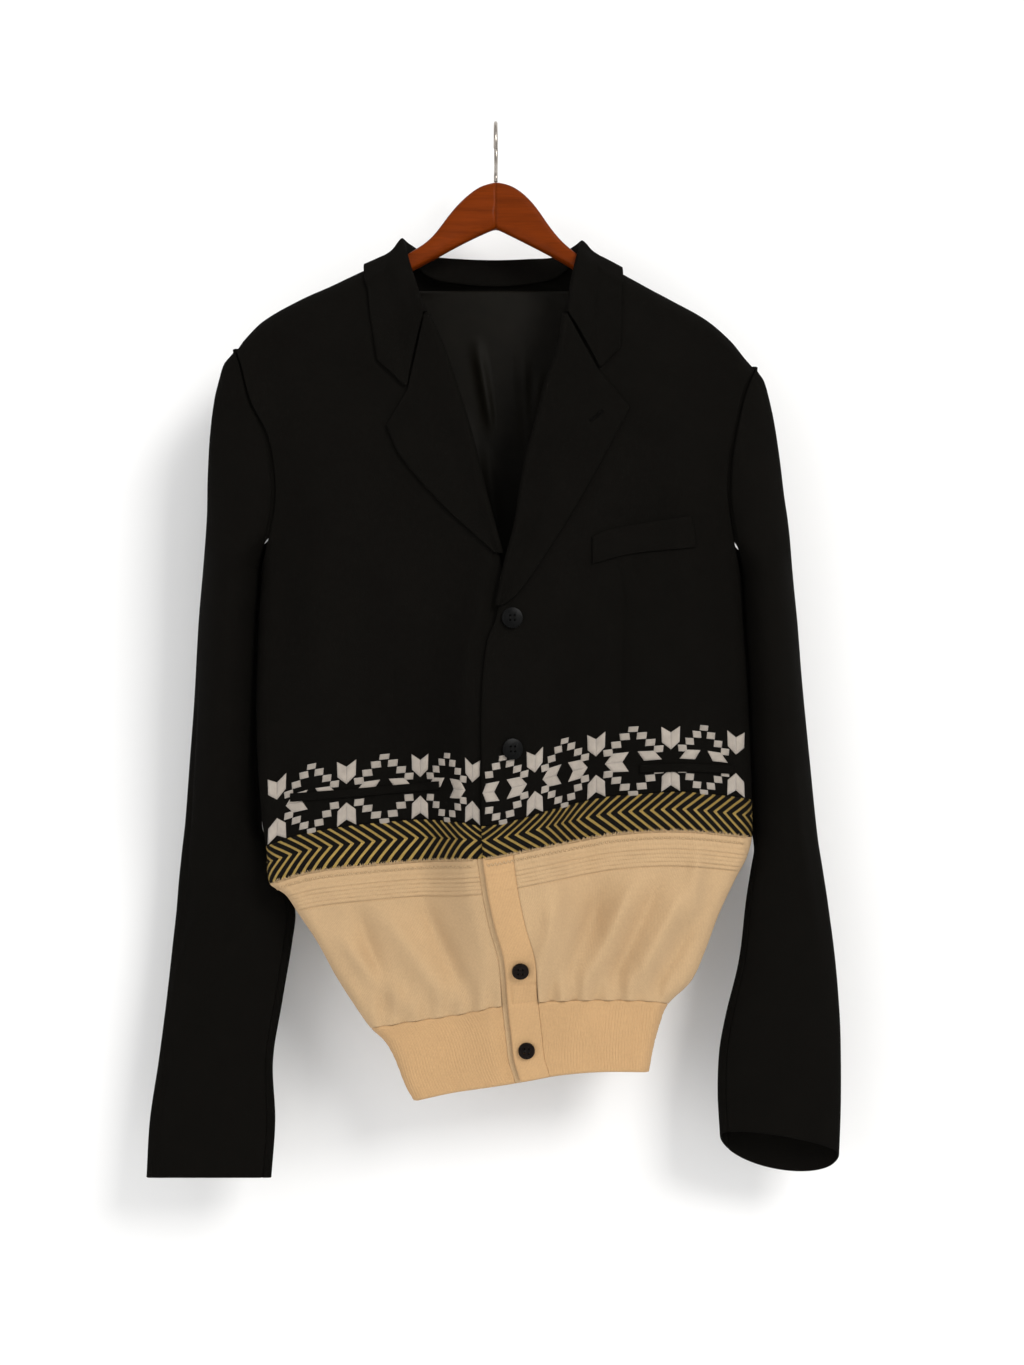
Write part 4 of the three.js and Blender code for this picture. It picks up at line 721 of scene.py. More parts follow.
def make_wood(settings, name, tilt):
    """Varnished wood with its grain along the arm."""
    finish = Finish(name, settings.wood_colour, 0.32, Specular_IOR_Level=0.05)
    place = finish.add("ShaderNodeTexCoord").outputs["Object"]

    def along_grain(stretch, **pattern):
        turned = finish.add("ShaderNodeMapping", Vector=place, Rotation=(0, tilt, 0), Scale=stretch)
        return finish.add("ShaderNodeTexNoise", Vector=turned.outputs[0], **pattern).outputs["Fac"]

    drift = along_grain((4, 60, 60), Scale=1.3, Detail=5.0, Distortion=0.8)
    pores = along_grain((14, 420, 420), Scale=1.6, Detail=4.0)
    grain = finish.calc("MULTIPLY_ADD", pores, 0.45, finish.calc("MULTIPLY", drift, 0.75))
    finish.colour(finish.mix(grain, rgba(settings.wood_colour, 0.42), rgba(settings.wood_colour, 1.6)))
    finish.bump(pores, 0.00012, 0.4)
    finish.roughness(finish.calc("MULTIPLY_ADD", grain, 0.2, 0.24))
    return finish.material


def make_steel():
    finish = Finish("bare_steel", (0.3, 0.27, 0.24), 0.3, Metallic=1.0)
    scuffs = finish.noise(240, 3, stretch=(1, 1, 0.2))
    finish.roughness(finish.calc("MULTIPLY_ADD", scuffs, 0.22, 0.14))
    finish.bump(scuffs, 0.00005, 0.3)
    finish.colour(finish.mix(scuffs, (0.2, 0.18, 0.16, 1), (0.42, 0.38, 0.34, 1)))
    return finish.material


def make_horn(name, colour):
    finish = Finish(name, colour, 0.26, Specular_IOR_Level=0.06)
    swirl = finish.noise(160, 4)
    finish.colour(finish.mix(swirl, rgba(colour, 0.4), rgba(colour, 2.6)))
    finish.roughness(finish.calc("MULTIPLY_ADD", swirl, 0.16, 0.2))
    finish.bump(finish.noise(500, 2), 0.00004, 0.4)
    return finish.material


def material(name):
    """A material by name, made the first time that it is asked for."""
    found = bpy.data.materials.get(name)
    if found:
        return found
    settings = bpy.context.scene.blazer
    makers = {
        "black_wool": lambda: make_wool(settings),
        "black_lining": make_lining,
        "gold_and_black_braid": lambda: make_braid(settings),
        "white_satin_thread": lambda: make_thread(settings),
        "cream_knit": lambda: make_knit(name, settings.knit_colour, 1.5, 1.15, 0.00035),
        "cream_rib": lambda: make_knit(name, settings.rib_colour, 1.35, 1.1, 0.0003),
        "cream_thread": lambda: make_plain_thread(name, (0.6, 0.43, 0.25)),
        "black_thread": lambda: make_plain_thread(name, (0.004, 0.0035, 0.003)),
        "wood_left": lambda: make_wood(settings, name, math.radians(-28)),
        "wood_right": lambda: make_wood(settings, name, math.radians(28)),
        "bare_steel": make_steel,
        "black_horn": lambda: make_horn(name, (0.002, 0.002, 0.002)),
        "brown_horn": lambda: make_horn(name, (0.004, 0.0025, 0.002)),
    }
    return makers[name]()


# Black cloth
NECK_LEFT, NECK_RIGHT, SHOULDER_SHARE = -87.0, 82.0, 0.32
ARMHOLE_LEFT = [(-233, -215), (-229, -226), (-220, -259), (-204, -292), (-198, -330), (-199, -358),
                (-203, -378), (-210, -408)]
ARMHOLE_RIGHT = [(233, -231), (224, -247), (216, -279), (210, -312), (209, -345), (214, -380), (221, -417)]
DART_LEFT = [(-92, -505), (-90, -540), (-88, -600), (-84, -640)]
DART_DEPTH, DART_WIDTH = 0.8, 1.5
DART_RIGHT = [(110, -405), (117, -440), (114, -475), (112, -560), (109, -614)]


def front_edges():
    left_edge = flowing([
        (NECK_LEFT, float(ridge_height(NECK_LEFT))), (-77, -150), (-64, -180), (-50, -214), (-28, -282),
        (-14, -336), (0, -385), (8, -420), (13, -455), (12, -499), (11, -560), (12, float(trim_top(12.0)))])
    right_edge = flowing([
        (NECK_RIGHT, float(ridge_height(NECK_RIGHT))), (71, -152), (65, -180), (60, -212), (48, -247),
        (44, -265), (31, -315), (22, -368), (12, -405), (1, -455), (-6, -473), (-10, -499), (-12, -536),
        (-12, -583), (-12, float(trim_top(-12.0)))])
    return left_edge, right_edge


def armhole_and_side(armhole, side, foot):
    last = armhole[-1][1]
    upper = flowing([*armhole[:-1], (float(side(last)), last)])
    return joined([(upper, 0.44), (descent(side, last, foot[1]), 0.56)])


def body_patches():
    left_corner, right_corner = corner(trim_top, side_left), corner(trim_top, side_right)
    left_side = armhole_and_side(ARMHOLE_LEFT, side_left, left_corner)
    right_side = armhole_and_side(ARMHOLE_RIGHT, side_right, right_corner)
    left_edge, right_edge = front_edges()
    left = patch(run(ridge_height, ARMHOLE_LEFT[0][0], NECK_LEFT), run(trim_top, left_corner[0], 12.0),
                 left_side, left_edge)
    right = patch(run(ridge_height, NECK_RIGHT, ARMHOLE_RIGHT[0][0]),
                  run(trim_top, -12.0, right_corner[0]), right_edge, right_side)
    neckline = flowing([
        (NECK_RIGHT, float(ridge_height(NECK_RIGHT))), (60, -143), (30, -150), (0, -152), (-30, -150),
        (-64, -143), (NECK_LEFT, float(ridge_height(NECK_LEFT)))])
    back_top = joined([
        (run(ridge_height, ARMHOLE_RIGHT[0][0], NECK_RIGHT), SHOULDER_SHARE),
        (neckline, 1 - 2 * SHOULDER_SHARE),
        (run(ridge_height, NECK_LEFT, ARMHOLE_LEFT[0][0]), SHOULDER_SHARE)])
    back = patch(back_top, run(trim_top, right_corner[0], left_corner[0]), right_side, left_side)
    return left, right, back


def add_body():
    left, right, back = body_patches()
    wool = material("black_wool")

    def dart_relief(dart):
        return lambda u, v, points: groove(*seen_places(points), dart, DART_DEPTH, DART_WIDTH)

    panel("front_left_cloth", surface_of(left, left_front_depth, back_depth),
          spaced(235, 2.3, dense_start=True), spaced(480, 2.4, dense_start=True), WOOL, wool, "wool",
          ["front_left"], dart_relief(DART_LEFT), rests_on=["hanger_arm_left"])
    panel("front_right_cloth", surface_of(right, front_depth, back_depth),
          spaced(245, 2.3, dense_end=True), spaced(470, 2.4, dense_start=True), WOOL, wool, "wool",
          ["front_right"], dart_relief(DART_RIGHT), rests_on=["hanger_arm_right"])
    panel("back_cloth", surface_of(back, back_depth, front_depth),
          spaced(470, 3.2, dense_start=True, dense_end=True), spaced(480, 3.4, dense_start=True), WOOL,
          wool, "wool", ["back"], rests_on=["hanger_arm_left", "hanger_arm_right"])


LINING_GAP, LINING_HALF, LINING_TOP, LINING_FOOT = 2.75, 74, -161, -425
LINING_FOLDS = [
    (-17, -206, -2, -290, 5, 4.5), (6, -196, 5, -330, 7, -3), (-30, -270, -20, -360, 7, 3),
    (-66, -200, -56, -255, 5, 3),
    (-8, -300, 3, -395, 6, 2.5), (24, -212, 30, -330, 6, 3), (40, -230, 34, -300, 5, 2)]


def add_lining():
    def place(u, v):
        return lerp(-LINING_HALF, LINING_HALF, u), lerp(LINING_TOP, LINING_FOOT, v)

    def depth(x, z):
        folds = np.maximum(0, fold_depth(LINING_FOLDS, x, z))
        return back_depth(x, z) - WOOL - LINING_GAP - LINING - folds

    panel("lining_cloth", surface_of(place, depth, depth), spaced(148, 1.8), spaced(264, 2.4), LINING,
          material("black_lining"), "lining", ["back_lining"], rests_on=["back_cloth"])


ROLL_LIFT, LOW_ROLL_LIFT, CLEAR_INSIDE = 6.5, 3.6, 3.0
LAPEL_EDGE_LIFT = WOOL + LAYER_GAP + 0.8
LAPEL_WALL = WOOL - 0.2
LAPELS = {
    "left": dict(
        turn=1, gorge=[(-64, -181), (-79, -249), (-98, -281)],
        outer=[(-98, -281), (-85, -309), (-48, -352), (-11, -386), (0, -396)],
        roll=[(-64, -181), (-50, -214), (-28, -282), (-14, -336), (0, -385), (3, -396)]),
    "right": dict(
        turn=-1, gorge=[(65, -181), (93, -232), (121, -265)],
        outer=[(121, -265), (106, -293), (76, -347), (41, -403), (20, -432), (7, -443)],
        roll=[(65, -181), (60, -212), (48, -247), (44, -265), (31, -315), (22, -368), (12, -405),
              (3.5, -443)]),
}


def lapel_surface(side):
    facts = LAPELS[side]
    depth = left_front_depth if side == "left" else front_depth
    place = patch(flowing(facts["gorge"], corners=True),
                  flowing([facts["roll"][-1], facts["outer"][-1]], corners=True),
                  flowing(facts["roll"]), flowing(facts["outer"]))

    def surface(across, v):
        lift = lerp(ROLL_LIFT, LOW_ROLL_LIFT, smooth((v - 0.5) / 0.5))
        x, z = place(np.maximum(across, 0), v)
        base = depth(x, z)
        flap = base - lerp(lift, LAPEL_EDGE_LIFT, smooth(across / 0.5))
        turn = np.pi * lerp(1, 0.6, smooth((v - 0.75) / 0.25)) * -np.minimum(across, 0)
        radius = (lift + WOOL + CLEAR_INSIDE) / 2
        rolled = placed(x + facts["turn"] * radius * np.sin(turn),
                        base - lift + radius * (1 - np.cos(turn)), z)
        return np.where((across >= 0)[..., None], placed(x, flap, z), rolled)

    return surface


def add_lapels():
    wool = material("black_wool")
    across = np.concatenate([np.linspace(-1, 0, round(12 / FINENESS), endpoint=False),
                             spaced(60, 1.6)])
    left, right = lapel_surface("left"), lapel_surface("right")
    down = spaced(235, 2.0)
    panel("lapel_left_cloth", lambda u, v: left(-u, v), -across[::-1], down, LAPEL_WALL, wool, "wool",
          ["lapel_left"], rests_on=["front_left_cloth"])
    panel("lapel_right_cloth", right, across, down, LAPEL_WALL, wool, "wool", ["lapel_right"],
          rests_on=["front_right_cloth"])


COLLAR_WALL = 1.8
FALL_LIFT = COLLAR_WALL + LAYER_GAP + 1
RIDGE_LIFT, BACK_LIFT = 2.5, 1.4
# Each station: what it lies on, then foot, fold, middle and edge of the fall
COLLAR = [
    ("front", (62, -179), (66, -179), (94.5, -229), (112, -212)),
    ("front", (65, -166), (68, -164), (93, -200), (113, -190)),
    ("front", (68, -149), (71, -148), (93, -172), (113, -170)),
    ("front", (72, -132, -17), (75, -130, -22), (95, -150), (113, -158)),
    ("front", (74, -126, -11), (76.5, -121, -14), (96, -142), (114, -152)),
    ("ridge", (75, -121, -4), (78, -115, -4), (97, -136), (114, -145)),
    ("back", (68, -136, 5), (71, -120, 8), (90, -145), (108, -160)),
    ("back", (52, -149, 20), (54, -130, 24), (58, -156), (72, -178)),
    ("back", (28, -154, 29), (29, -132, 33), (31, -158), (38, -184)),
    ("back", (0, -156, 32), (0, -133, 36), (0, -158), (0, -186)),
    ("back", (-30, -154, 29), (-31, -132, 33), (-33, -158), (-40, -184)),
    ("back", (-56, -149, 20), (-58, -129, 24), (-62, -156), (-76, -178)),
    ("back", (-73, -136, 5), (-76, -119, 8), (-95, -145), (-112, -160)),
    ("ridge", (-80, -122, -4), (-84, -113, -4), (-102, -135), (-118, -142)),
    ("front", (-79, -126, -11), (-82, -121, -14), (-101, -143), (-117, -151)),
    ("front", (-77, -134, -17), (-80, -131, -22), (-99, -156), (-114, -162)),
    ("front", (-71, -153), (-73, -152), (-93, -184), (-112, -182)),
    ("front", (-66, -168), (-69, -167), (-88, -215), (-109, -203)),
    ("front", (-61, -179), (-65, -179), (-80.5, -246), (-106, -223)),
]
neck_edge = track([
    (-110, -140), (-87, -131), (-64, -146), (-30, -154), (0, -156), (30, -154), (60, -146), (82, -131),
    (106, -142)])


def collar_column(station):
    on, foot, fold, mid, edge = station

    def lift(x, z, height):
        if on == "ridge":
            ridge = float(ridge_height(x))
            return placed(x, middle(x, ridge), ridge + height + RIDGE_LIFT)
        if on == "back":
            return placed(x, back_depth(x, min(z, float(neck_edge(x)))) + height + BACK_LIFT, z)
        return over_surface(front_depth, x, min(z, float(ridge_height(x)) - 1.5), height)

    def way(a, b, t):
        return lerp(a[0], b[0], t), lerp(a[1], b[1], t)

    fold_y = fold[2] if len(fold) > 2 else front_depth(fold[0], fold[1]) - ROLL_LIFT
    foot_y = foot[2] if len(foot) > 2 else front_depth(foot[0], foot[1]) + WOOL + CLEAR_INSIDE
    fold_point = placed(fold[0], fold_y, fold[1])
    foot_point = placed(foot[0], foot_y, foot[1])
    on_way = lift(*way(fold, mid, 0.45), FALL_LIFT + 1.5)
    rise = lerp(foot_point, fold_point, 0.6) + np.array([math.copysign(1, -fold[0]) if fold[0] else 0, 0, 0])
    over_fold = lerp(fold_point, on_way, 0.4) + np.array([0, 0, 1.0])
    fall = [way(fold, mid, 0.8), mid, way(mid, edge, 0.5), edge]
    return [foot_point, rise, fold_point, over_fold, on_way, *(lift(*spot, FALL_LIFT) for spot in fall)]


def smooth_grid(points, across, down):
    """A finer grid through a coarse one. across and down are places counted in its steps."""
    def refine(values, places):
        flat = values.reshape(len(values), -1)
        lines = [track(list(zip(range(len(flat)), flat[:, k])))(places) for k in range(flat.shape[1])]
        return np.stack(lines, axis=1).reshape(len(places), *values.shape[1:])

    wide = refine(points, across)
    return refine(np.swapaxes(wide, 0, 1), down)


def add_collar():
    coarse = np.array([[np.asarray(point, float) for point in collar_column(s)] for s in COLLAR])
    across = np.linspace(0, len(COLLAR) - 1, round(220 / FINENESS))
    down = np.linspace(0, 8, round(44 / FINENESS))
    points = smooth_grid(coarse, across, down)
    normals = np.cross(np.gradient(points, axis=0), np.gradient(points, axis=1))
    normals /= np.linalg.norm(normals, axis=-1, keepdims=True)
    obj = cloth("collar_cloth", points, points - normals * COLLAR_WALL, cloth_uv(points),
                material("black_wool"))
    settle(obj, "wool", "collar")
    declare_sheet(points)


# Sleeves
UNDER_TURN, CUFF_RUN, ARMHOLE_GAP = 150.0, 110.0, 0.7
# How far a sleeve's inner edge goes in behind the side of the body, and how far back it lies
BEHIND_BODY, TUCK_BACK = 1.5, 16.0
# A head's sewn edge goes on under the body by the first and lies inside it by the second. The arm
# lies further in by the third where it leaves the head, and by less down to the underarm
LAP_REACH, LAP_DEPTH, FOOT_INSET = 3.5, 3.6, 8.5
# Where across the top sleeve its edge begins to sink and to go on, each with its run
SINK_START, SINK_RUN, PAST_START, PAST_RUN = 0.935, 0.025, 0.962, 0.038
SEAM_TURN, SETTLE_RUN, HEAD_FADE, UNDER_SINK, UNDER_PAST = 0.8, 14.0, 9.0, 7.0, 9.0
WRINKLE_START, WRINKLE_SIDE, WRINKLE_FADE = 60.0, 150.0, 40.0
SLEEVES = {
    "left": dict(
        inward=1, underarm=-409, cuff=(-958, 0, 0, 0, 0), lifted=(-625, -655),
        head=[(-213.5, -234.9, -233.5, 30), (-217, -236.5, -232.8, 60), (-226, -244, -229, 80),
              (-240, -248.5, -225, 98), (-259, -253, -220, 110), (-292, -257, -204, 124),
              (-330, -259, -198, 136),
              (-359, -259.5, -199, 145), (-378, -260.5, -203, 150)],
        arm=[(-378, -260.5, -199, -6, 50, 62), (-410, -263, -212.6, -4, 42, 46),
             (-457, -267, -215.2, -2, 40, 42), (-529, -271, -217, 2, 38, 42),
             (-583, -275, -216.5, 8, 34, 38), (-637, -279, -212.5, 17, 28, 32),
             (-664, -282, -201, 21, 22, 26), (-693, -285, -188, 23, 19, 24),
             (-718, -287, -180, 23, 18, 22), (-745, -290, -182.5, 22, 17, 21),
             (-799, -296, -191.5, 18, 16, 19), (-853, -303, -200, 14, 15, 17),
             (-907, -311, -198, 11, 14, 16), (-958, -314, -201.5, 9, 13, 15)],
        folds=[(20, -500, 30, -760, 7, -2.2), (60, -690, 25, -800, 9, 2.4), (95, -700, 60, -840, 8, -2.2),
               (30, -840, 34, -955, 5, -2.0), (110, -640, 70, -700, 8, 1.8), (-60, -560, -40, -760, 12, 2)]),
    "right": dict(
        inward=-1, underarm=-418, cuff=(-930, -7, 10, 8, -22), lifted=(-640, -668),
        head=[(-229.5, 234.7, 233.3, 30), (-233, 236, 232.8, 60), (-241, 241.5, 228, 80),
              (-256, 246, 222, 98), (-279, 251, 216, 112), (-312, 256, 210, 126),
              (-345, 260, 209, 138), (-365, 263, 211, 145), (-382, 265, 214.5, 150)],
        arm=[(-382, 265, 211, -6, 50, 62), (-419, 268, 224.5, -4, 40, 44), (-460, 272, 227.5, -3, 40, 42),
             (-511, 276, 230.5, -2, 38, 40), (-583, 283, 234, 0, 36, 38), (-651, 290, 234.5, 2, 32, 36),
             (-683, 295, 229.5, 4, 30, 32), (-709, 299, 225.5, 4, 27, 29), (-763, 306, 219, 3, 24, 26),
             (-813, 310, 207, 2, 22, 24), (-845, 311, 201.5, 2, 21, 23), (-889, 311, 200, 2, 18, 22),
             (-930, 309.5, 202, 1, 17, 21)],
        folds=[(50, -520, 30, -700, 9, -2.2), (80, -600, 60, -800, 10, 2.4), (100, -760, 80, -920, 8, -2.2),
               (20, -640, 36, -880, 9, 2.0), (-70, -560, -50, -760, 12, 2)]),
}


def sleeve_form(side):
    facts = SLEEVES[side]
    depth = left_front_depth if side == "left" else front_depth
    outer_at, seam_at, turn_at = columns_of(facts["head"])
    arm = columns_of(facts["arm"])
    joint, first = facts["arm"][0][0], facts["arm"][1][0]
    inward = facts["inward"]
    cuff_z, cuff_outer, cuff_inner, cuff_front, cuff_back = facts["cuff"]
    lift, last = facts["lifted"]
    foot = facts["underarm"]
    side_at = side_left if side == "left" else side_right

    def around(degrees, height, sunk=0.0, past=0.0):
        angle = np.radians(degrees)
        near = smooth((height - cuff_z) / -CUFF_RUN + 1)
        across = (1 - np.cos(angle)) / 2
        bow = np.where(np.sin(angle) > 0, cuff_front, cuff_back)
        tail = lerp(cuff_outer, cuff_inner, across) + bow * np.abs(np.sin(angle))
        outer, seam, turn = outer_at(height), seam_at(height), turn_at(height)
        seam_x = seam - inward * ARMHOLE_GAP
        half = np.abs(seam_x - outer) / (1 - np.cos(np.radians(turn)))
        mid = middle(seam, height)
        sine = np.sin(np.radians(turn))
        front, back = (mid - depth(seam, height)) / sine, (back_depth(seam, height) - mid) / sine
        arm_outer, inner, arm_y, arm_front, arm_back = (value(height) for value in arm)
        blend = smooth((joint - height) / (joint - first))
        below = height < joint
        outer = np.where(below, arm_outer, outer)
        half = np.where(below, np.abs(inner - arm_outer) / 2, half)
        tucked = smooth((joint - height) / (joint - foot)) * smooth((height - last) / (lift - last))
        inset = FOOT_INSET * np.clip((height - foot) / (joint - foot), 0, 1)
        edge = side_at(height) + inward * (BEHIND_BODY + inset)
        half = np.where(below, lerp(half, np.abs(edge - arm_outer) / 2, tucked), half)
        mid = np.where(below, lerp(mid, arm_y, blend), mid)
        front = np.where(below, lerp(front, arm_front, blend), front)
        back = np.where(below, lerp(back, arm_back, blend), back)
        turned_by = (degrees * inward + 180) % 360 - 180
        wrinkle = fold_depth(facts["folds"], turned_by, height) * smooth((joint - height) / WRINKLE_START)
        wrinkle = wrinkle * smooth((WRINKLE_SIDE - np.abs(turned_by)) / WRINKLE_FADE)
        x = outer + inward * half * (1 - np.cos(angle)) - inward * wrinkle * np.cos(angle)
        y = mid - np.where(np.sin(angle) > 0, front, back) * np.sin(angle) - wrinkle * np.sin(angle)
        facing = np.sin(angle) / (np.abs(np.sin(angle)) + 0.15)
        y = y + TUCK_BACK * tucked * across ** 3 + LAP_DEPTH * sunk * facing
        return placed(x + inward * LAP_REACH * past, y, height + tail * near)

    return around, turn_at, joint


def add_sleeve(side):
    facts = SLEEVES[side]
    around, turn_at, joint = sleeve_form(side)
    inward = facts["inward"]
    top_z, cuff_z = facts["head"][0][0], facts["cuff"][0]

    def top(u, v):
        z = lerp(top_z, cuff_z, v)
        turn = np.where(z >= joint, turn_at(z), UNDER_TURN)
        settled = smooth((joint - z) / SETTLE_RUN + 0.5)
        sewn = smooth(1 - (joint - z) / HEAD_FADE)
        sunk = smooth((np.abs(u) - SINK_START) / SINK_RUN) * sewn
        past = smooth((np.abs(u) - PAST_START) / PAST_RUN) * sewn
        return around(inward * u * (turn - SEAM_TURN * settled), z, sunk, past)

    def under(u, v):
        degrees = lerp(UNDER_TURN + SEAM_TURN, 360 - UNDER_TURN - SEAM_TURN, u)
        rise = np.clip(1 - np.abs(degrees - 180) / (180 - UNDER_TURN), 0, 1)
        start = lerp(joint, facts["underarm"], np.sqrt(rise))
        drop = v * (joint - cuff_z)
        sunk, past = smooth(2 - drop / UNDER_SINK), smooth(1 - drop / UNDER_PAST)
        return around(inward * degrees, lerp(start, cuff_z, v), sunk, past)

    wool = material("black_wool")
    length = top_z - cuff_z
    half_way = np.concatenate([spaced(118, 2.8) * 0.93, [0.943, 0.952, 0.962, 0.972, 0.985, 1]])
    top_columns = np.concatenate([-half_way[:0:-1], half_way])
    panel(f"sleeve_{side}_top_cloth", top, top_columns, spaced(length, 3.0), WOOL, wool,
          "wool", [f"sleeve_{side}_top"], rests_on=["hanger_arm_" + side, f"front_{side}_cloth"])
    close_rows = np.array([1.2, 2.4, 3.6, 4.8]) / (joint - cuff_z)
    under_rows = np.unique(np.append(spaced(joint - cuff_z, 3.0), close_rows))
    panel(f"sleeve_{side}_under_cloth", under, spaced(60, 2.8), under_rows, WOOL, wool,
          "wool", [f"sleeve_{side}_under"], rests_on=[f"sleeve_{side}_top_cloth"])


# Pocket welts: their top and bottom edges and the front they lie on
WELT_WALL, WELT_GAP, WELT_ROUND, WELT_SINK = 1.6, 1.0, 1.4, 0.5
WELTS = {
    "breast_welt": ([(87, -382), (105, -375), (176, -363)], [(87, -406), (123, -397), (180, -391)],
                    front_depth),
    "pocket_welt_left": ([(-184, -613), (-120, -608), (-50, -602)],
                         [(-184, -620), (-120, -615), (-50, -609)], left_front_depth),
    "pocket_welt_right": ([(130, -587), (172, -586), (214, -588)],
                          [(130, -594), (172, -593), (214, -595)], front_depth),
}


def add_welts():
    for name, (top, bottom, depth) in WELTS.items():
        place = patch(flowing(top), flowing(bottom), flowing([top[0], bottom[0]], corners=True),
                      flowing([top[-1], bottom[-1]], corners=True))
        base = surface_of(place, depth, back_depth)

        def surface(u, v, base=base):
            return base(u, v) + normals_of(base, u, v) * (WELT_GAP + WELT_WALL)

        def relief(u, v, points):
            edge = np.minimum(np.minimum(u, 1 - u) * 100, np.minimum(v, 1 - v) * 8)
            return -WELT_SINK * (1 - smooth(edge / WELT_ROUND))

        height = abs(top[0][1] - bottom[0][1])
        panel(f"{name}_cloth", surface, spaced(90, 1.5), spaced(height, 0.9), WELT_WALL,
              material("black_wool"), "wool", [name], relief, is_sheet=False)


# Braid
BRAID_INSET, BAR_RISE, SPINE_HALF, BRAID_EDGE = 23.0, 17, 0.035, 0.03
# Of the relief: a gold bar's foot and rise, a black one's, and what the spine leaves of them
GOLD_FOOT, GOLD_RISE, CORD_FOOT, CORD_RISE, SPINE_REST, SPINE_RISE = 0.25, 0.75, 0.1, 1.15, 0.35, 0.65


def add_braids():
    settings = bpy.context.scene.blazer
    top = lowered(trim_top, WIDE_SEAM)
    left = between(top, trim_bottom, edge_run(side_left, top, trim_bottom),
                   edge_run(upper_edge, top, trim_bottom, BRAID_INSET))
    right = between(top, trim_bottom, edge_run(upper_edge, top, trim_bottom),
                    edge_run(side_right, top, trim_bottom))
    back = between(top, trim_bottom, edge_run(side_right, top, trim_bottom),
                   edge_run(side_left, top, trim_bottom))
    pitch, slant = settings.bar_pitch, settings.bar_slant
    for name, place, depth, other, width, pointing in (
            ("braid_left", left, left_front_depth, back_depth, 225, 1),
            ("braid_right", right, front_depth, back_depth, 245, -1),
            ("braid_back", back, back_depth, front_depth, 440, 1)):

        def bars(u, v, points, pointing=pointing):
            """How far along the row of bars a point lies, in bars, and how far along its bar."""
            across = run_lengths(points, 1)
            reach = np.minimum(v / BAR_SPINE, (1 - v) / (1 - BAR_SPINE))
            phase = (across - pointing * slant * reach) / pitch
            return phase, np.hypot(slant, BAR_RISE) * reach

        def relief(u, v, points, bars=bars):
            phase, _ = bars(u, v, points)
            part = phase - np.floor(phase)
            gold = dome(2 * part / GOLD_SHARE - 1)
            cord = dome(2 * (part - GOLD_SHARE) / (1 - GOLD_SHARE) - 1)
            height = np.where(part < GOLD_SHARE, GOLD_FOOT + GOLD_RISE * gold,
                              CORD_FOOT + CORD_RISE * cord)
            spine = smooth(np.abs(v - BAR_SPINE) / SPINE_HALF)
            edge = smooth(np.minimum(v, 1 - v) / BRAID_EDGE) * smooth(np.minimum(u, 1 - u) * 200)
            return height * (SPINE_REST + SPINE_RISE * spine) * edge

        def bar_uv(u, v, points, bars=bars):
            phase, along = bars(u, v, points)
            return np.stack([phase, along * MM], axis=-1)

        panel(f"{name}_cloth", surface_of(place, depth, other), spaced(width, 0.75), spaced(35, 0.8),
              BRAID, material("gold_and_black_braid"), "braid", [name], relief,
              rests_on=["front_left_cloth" if "left" in name else "front_right_cloth"
                        if "right" in name else "back_cloth"], uv=bar_uv)


# Knit
# How far below the knit's top edge each tuck, the first soft ridge and the sewn lines lie
TUCKS = [14.5, 18.6, 22.4, 25.9, 29.6]
SOFT_RIDGE, LAST_TUCK_SEAM, TOP_STITCH = 9.7, 32.0, 6.3
TUCK_HALF, TUCK_HEIGHT, PLACKET_TUCK_HEIGHT = 1.8, 1.25, 0.5
RIDGE_HALF, SOFT_RIDGE_HEIGHT, SEAM_HALF, SEAM_DEPTH, STITCH_DEPTH = 1.9, 0.5, 0.7, 0.8, 0.4
KNIT_GAP, KNIT_SIDE_FADE, GATHER_SIDE_FADE, RIB_HEIGHT, RIB_EDGE = 0.8, 6.0, 25.0, 0.3, 0.04
# The rows are close over this share of the knit's height, where the tucks are
CLOSE_SHARE = 0.26
STITCHED_BOX = [(14, -786), (40, -784), (42, -800), (15, -803), (14, -786)]
BOX_DEPTH, BOX_WIDTH, PLACKET_SINK, PLACKET_SINK_RUN, PLACKET_TUCK_RUN = 0.9, 0.9, 0.5, 0.03, 0.05
PLACKET_WIDTH, PLACKET_OVERLAP, PLACKET_TUCK, PLACKET_WALL = 27.0, 20.0, 5.0, 2.4


def gathered(depth, sign):
    def at(x, z):
        side = smooth(inside_sides(x, z) / GATHER_SIDE_FADE)
        return depth(x, z) + sign * gather_depth(x, z) * side

    return at


def with_tucks(height, below, tallest):
    """The height with the tucks standing out of it as rounded ridges."""
    for place in TUCKS:
        height = np.maximum(height, tallest * dome((below - place) / TUCK_HALF))
    return height


def tuck_relief(u, v, points):
    x, z = seen_places(points)
    below = trim_bottom(x) - WIDE_SEAM - z
    height = SOFT_RIDGE_HEIGHT * bell((below - SOFT_RIDGE) / RIDGE_HALF)
    height = with_tucks(height, below, TUCK_HEIGHT)
    height = height - SEAM_DEPTH * bell((below - LAST_TUCK_SEAM) / SEAM_HALF)
    height = height - STITCH_DEPTH * bell((below - TOP_STITCH) / SEAM_HALF)
    return height * smooth(inside_sides(x, z) / KNIT_SIDE_FADE)


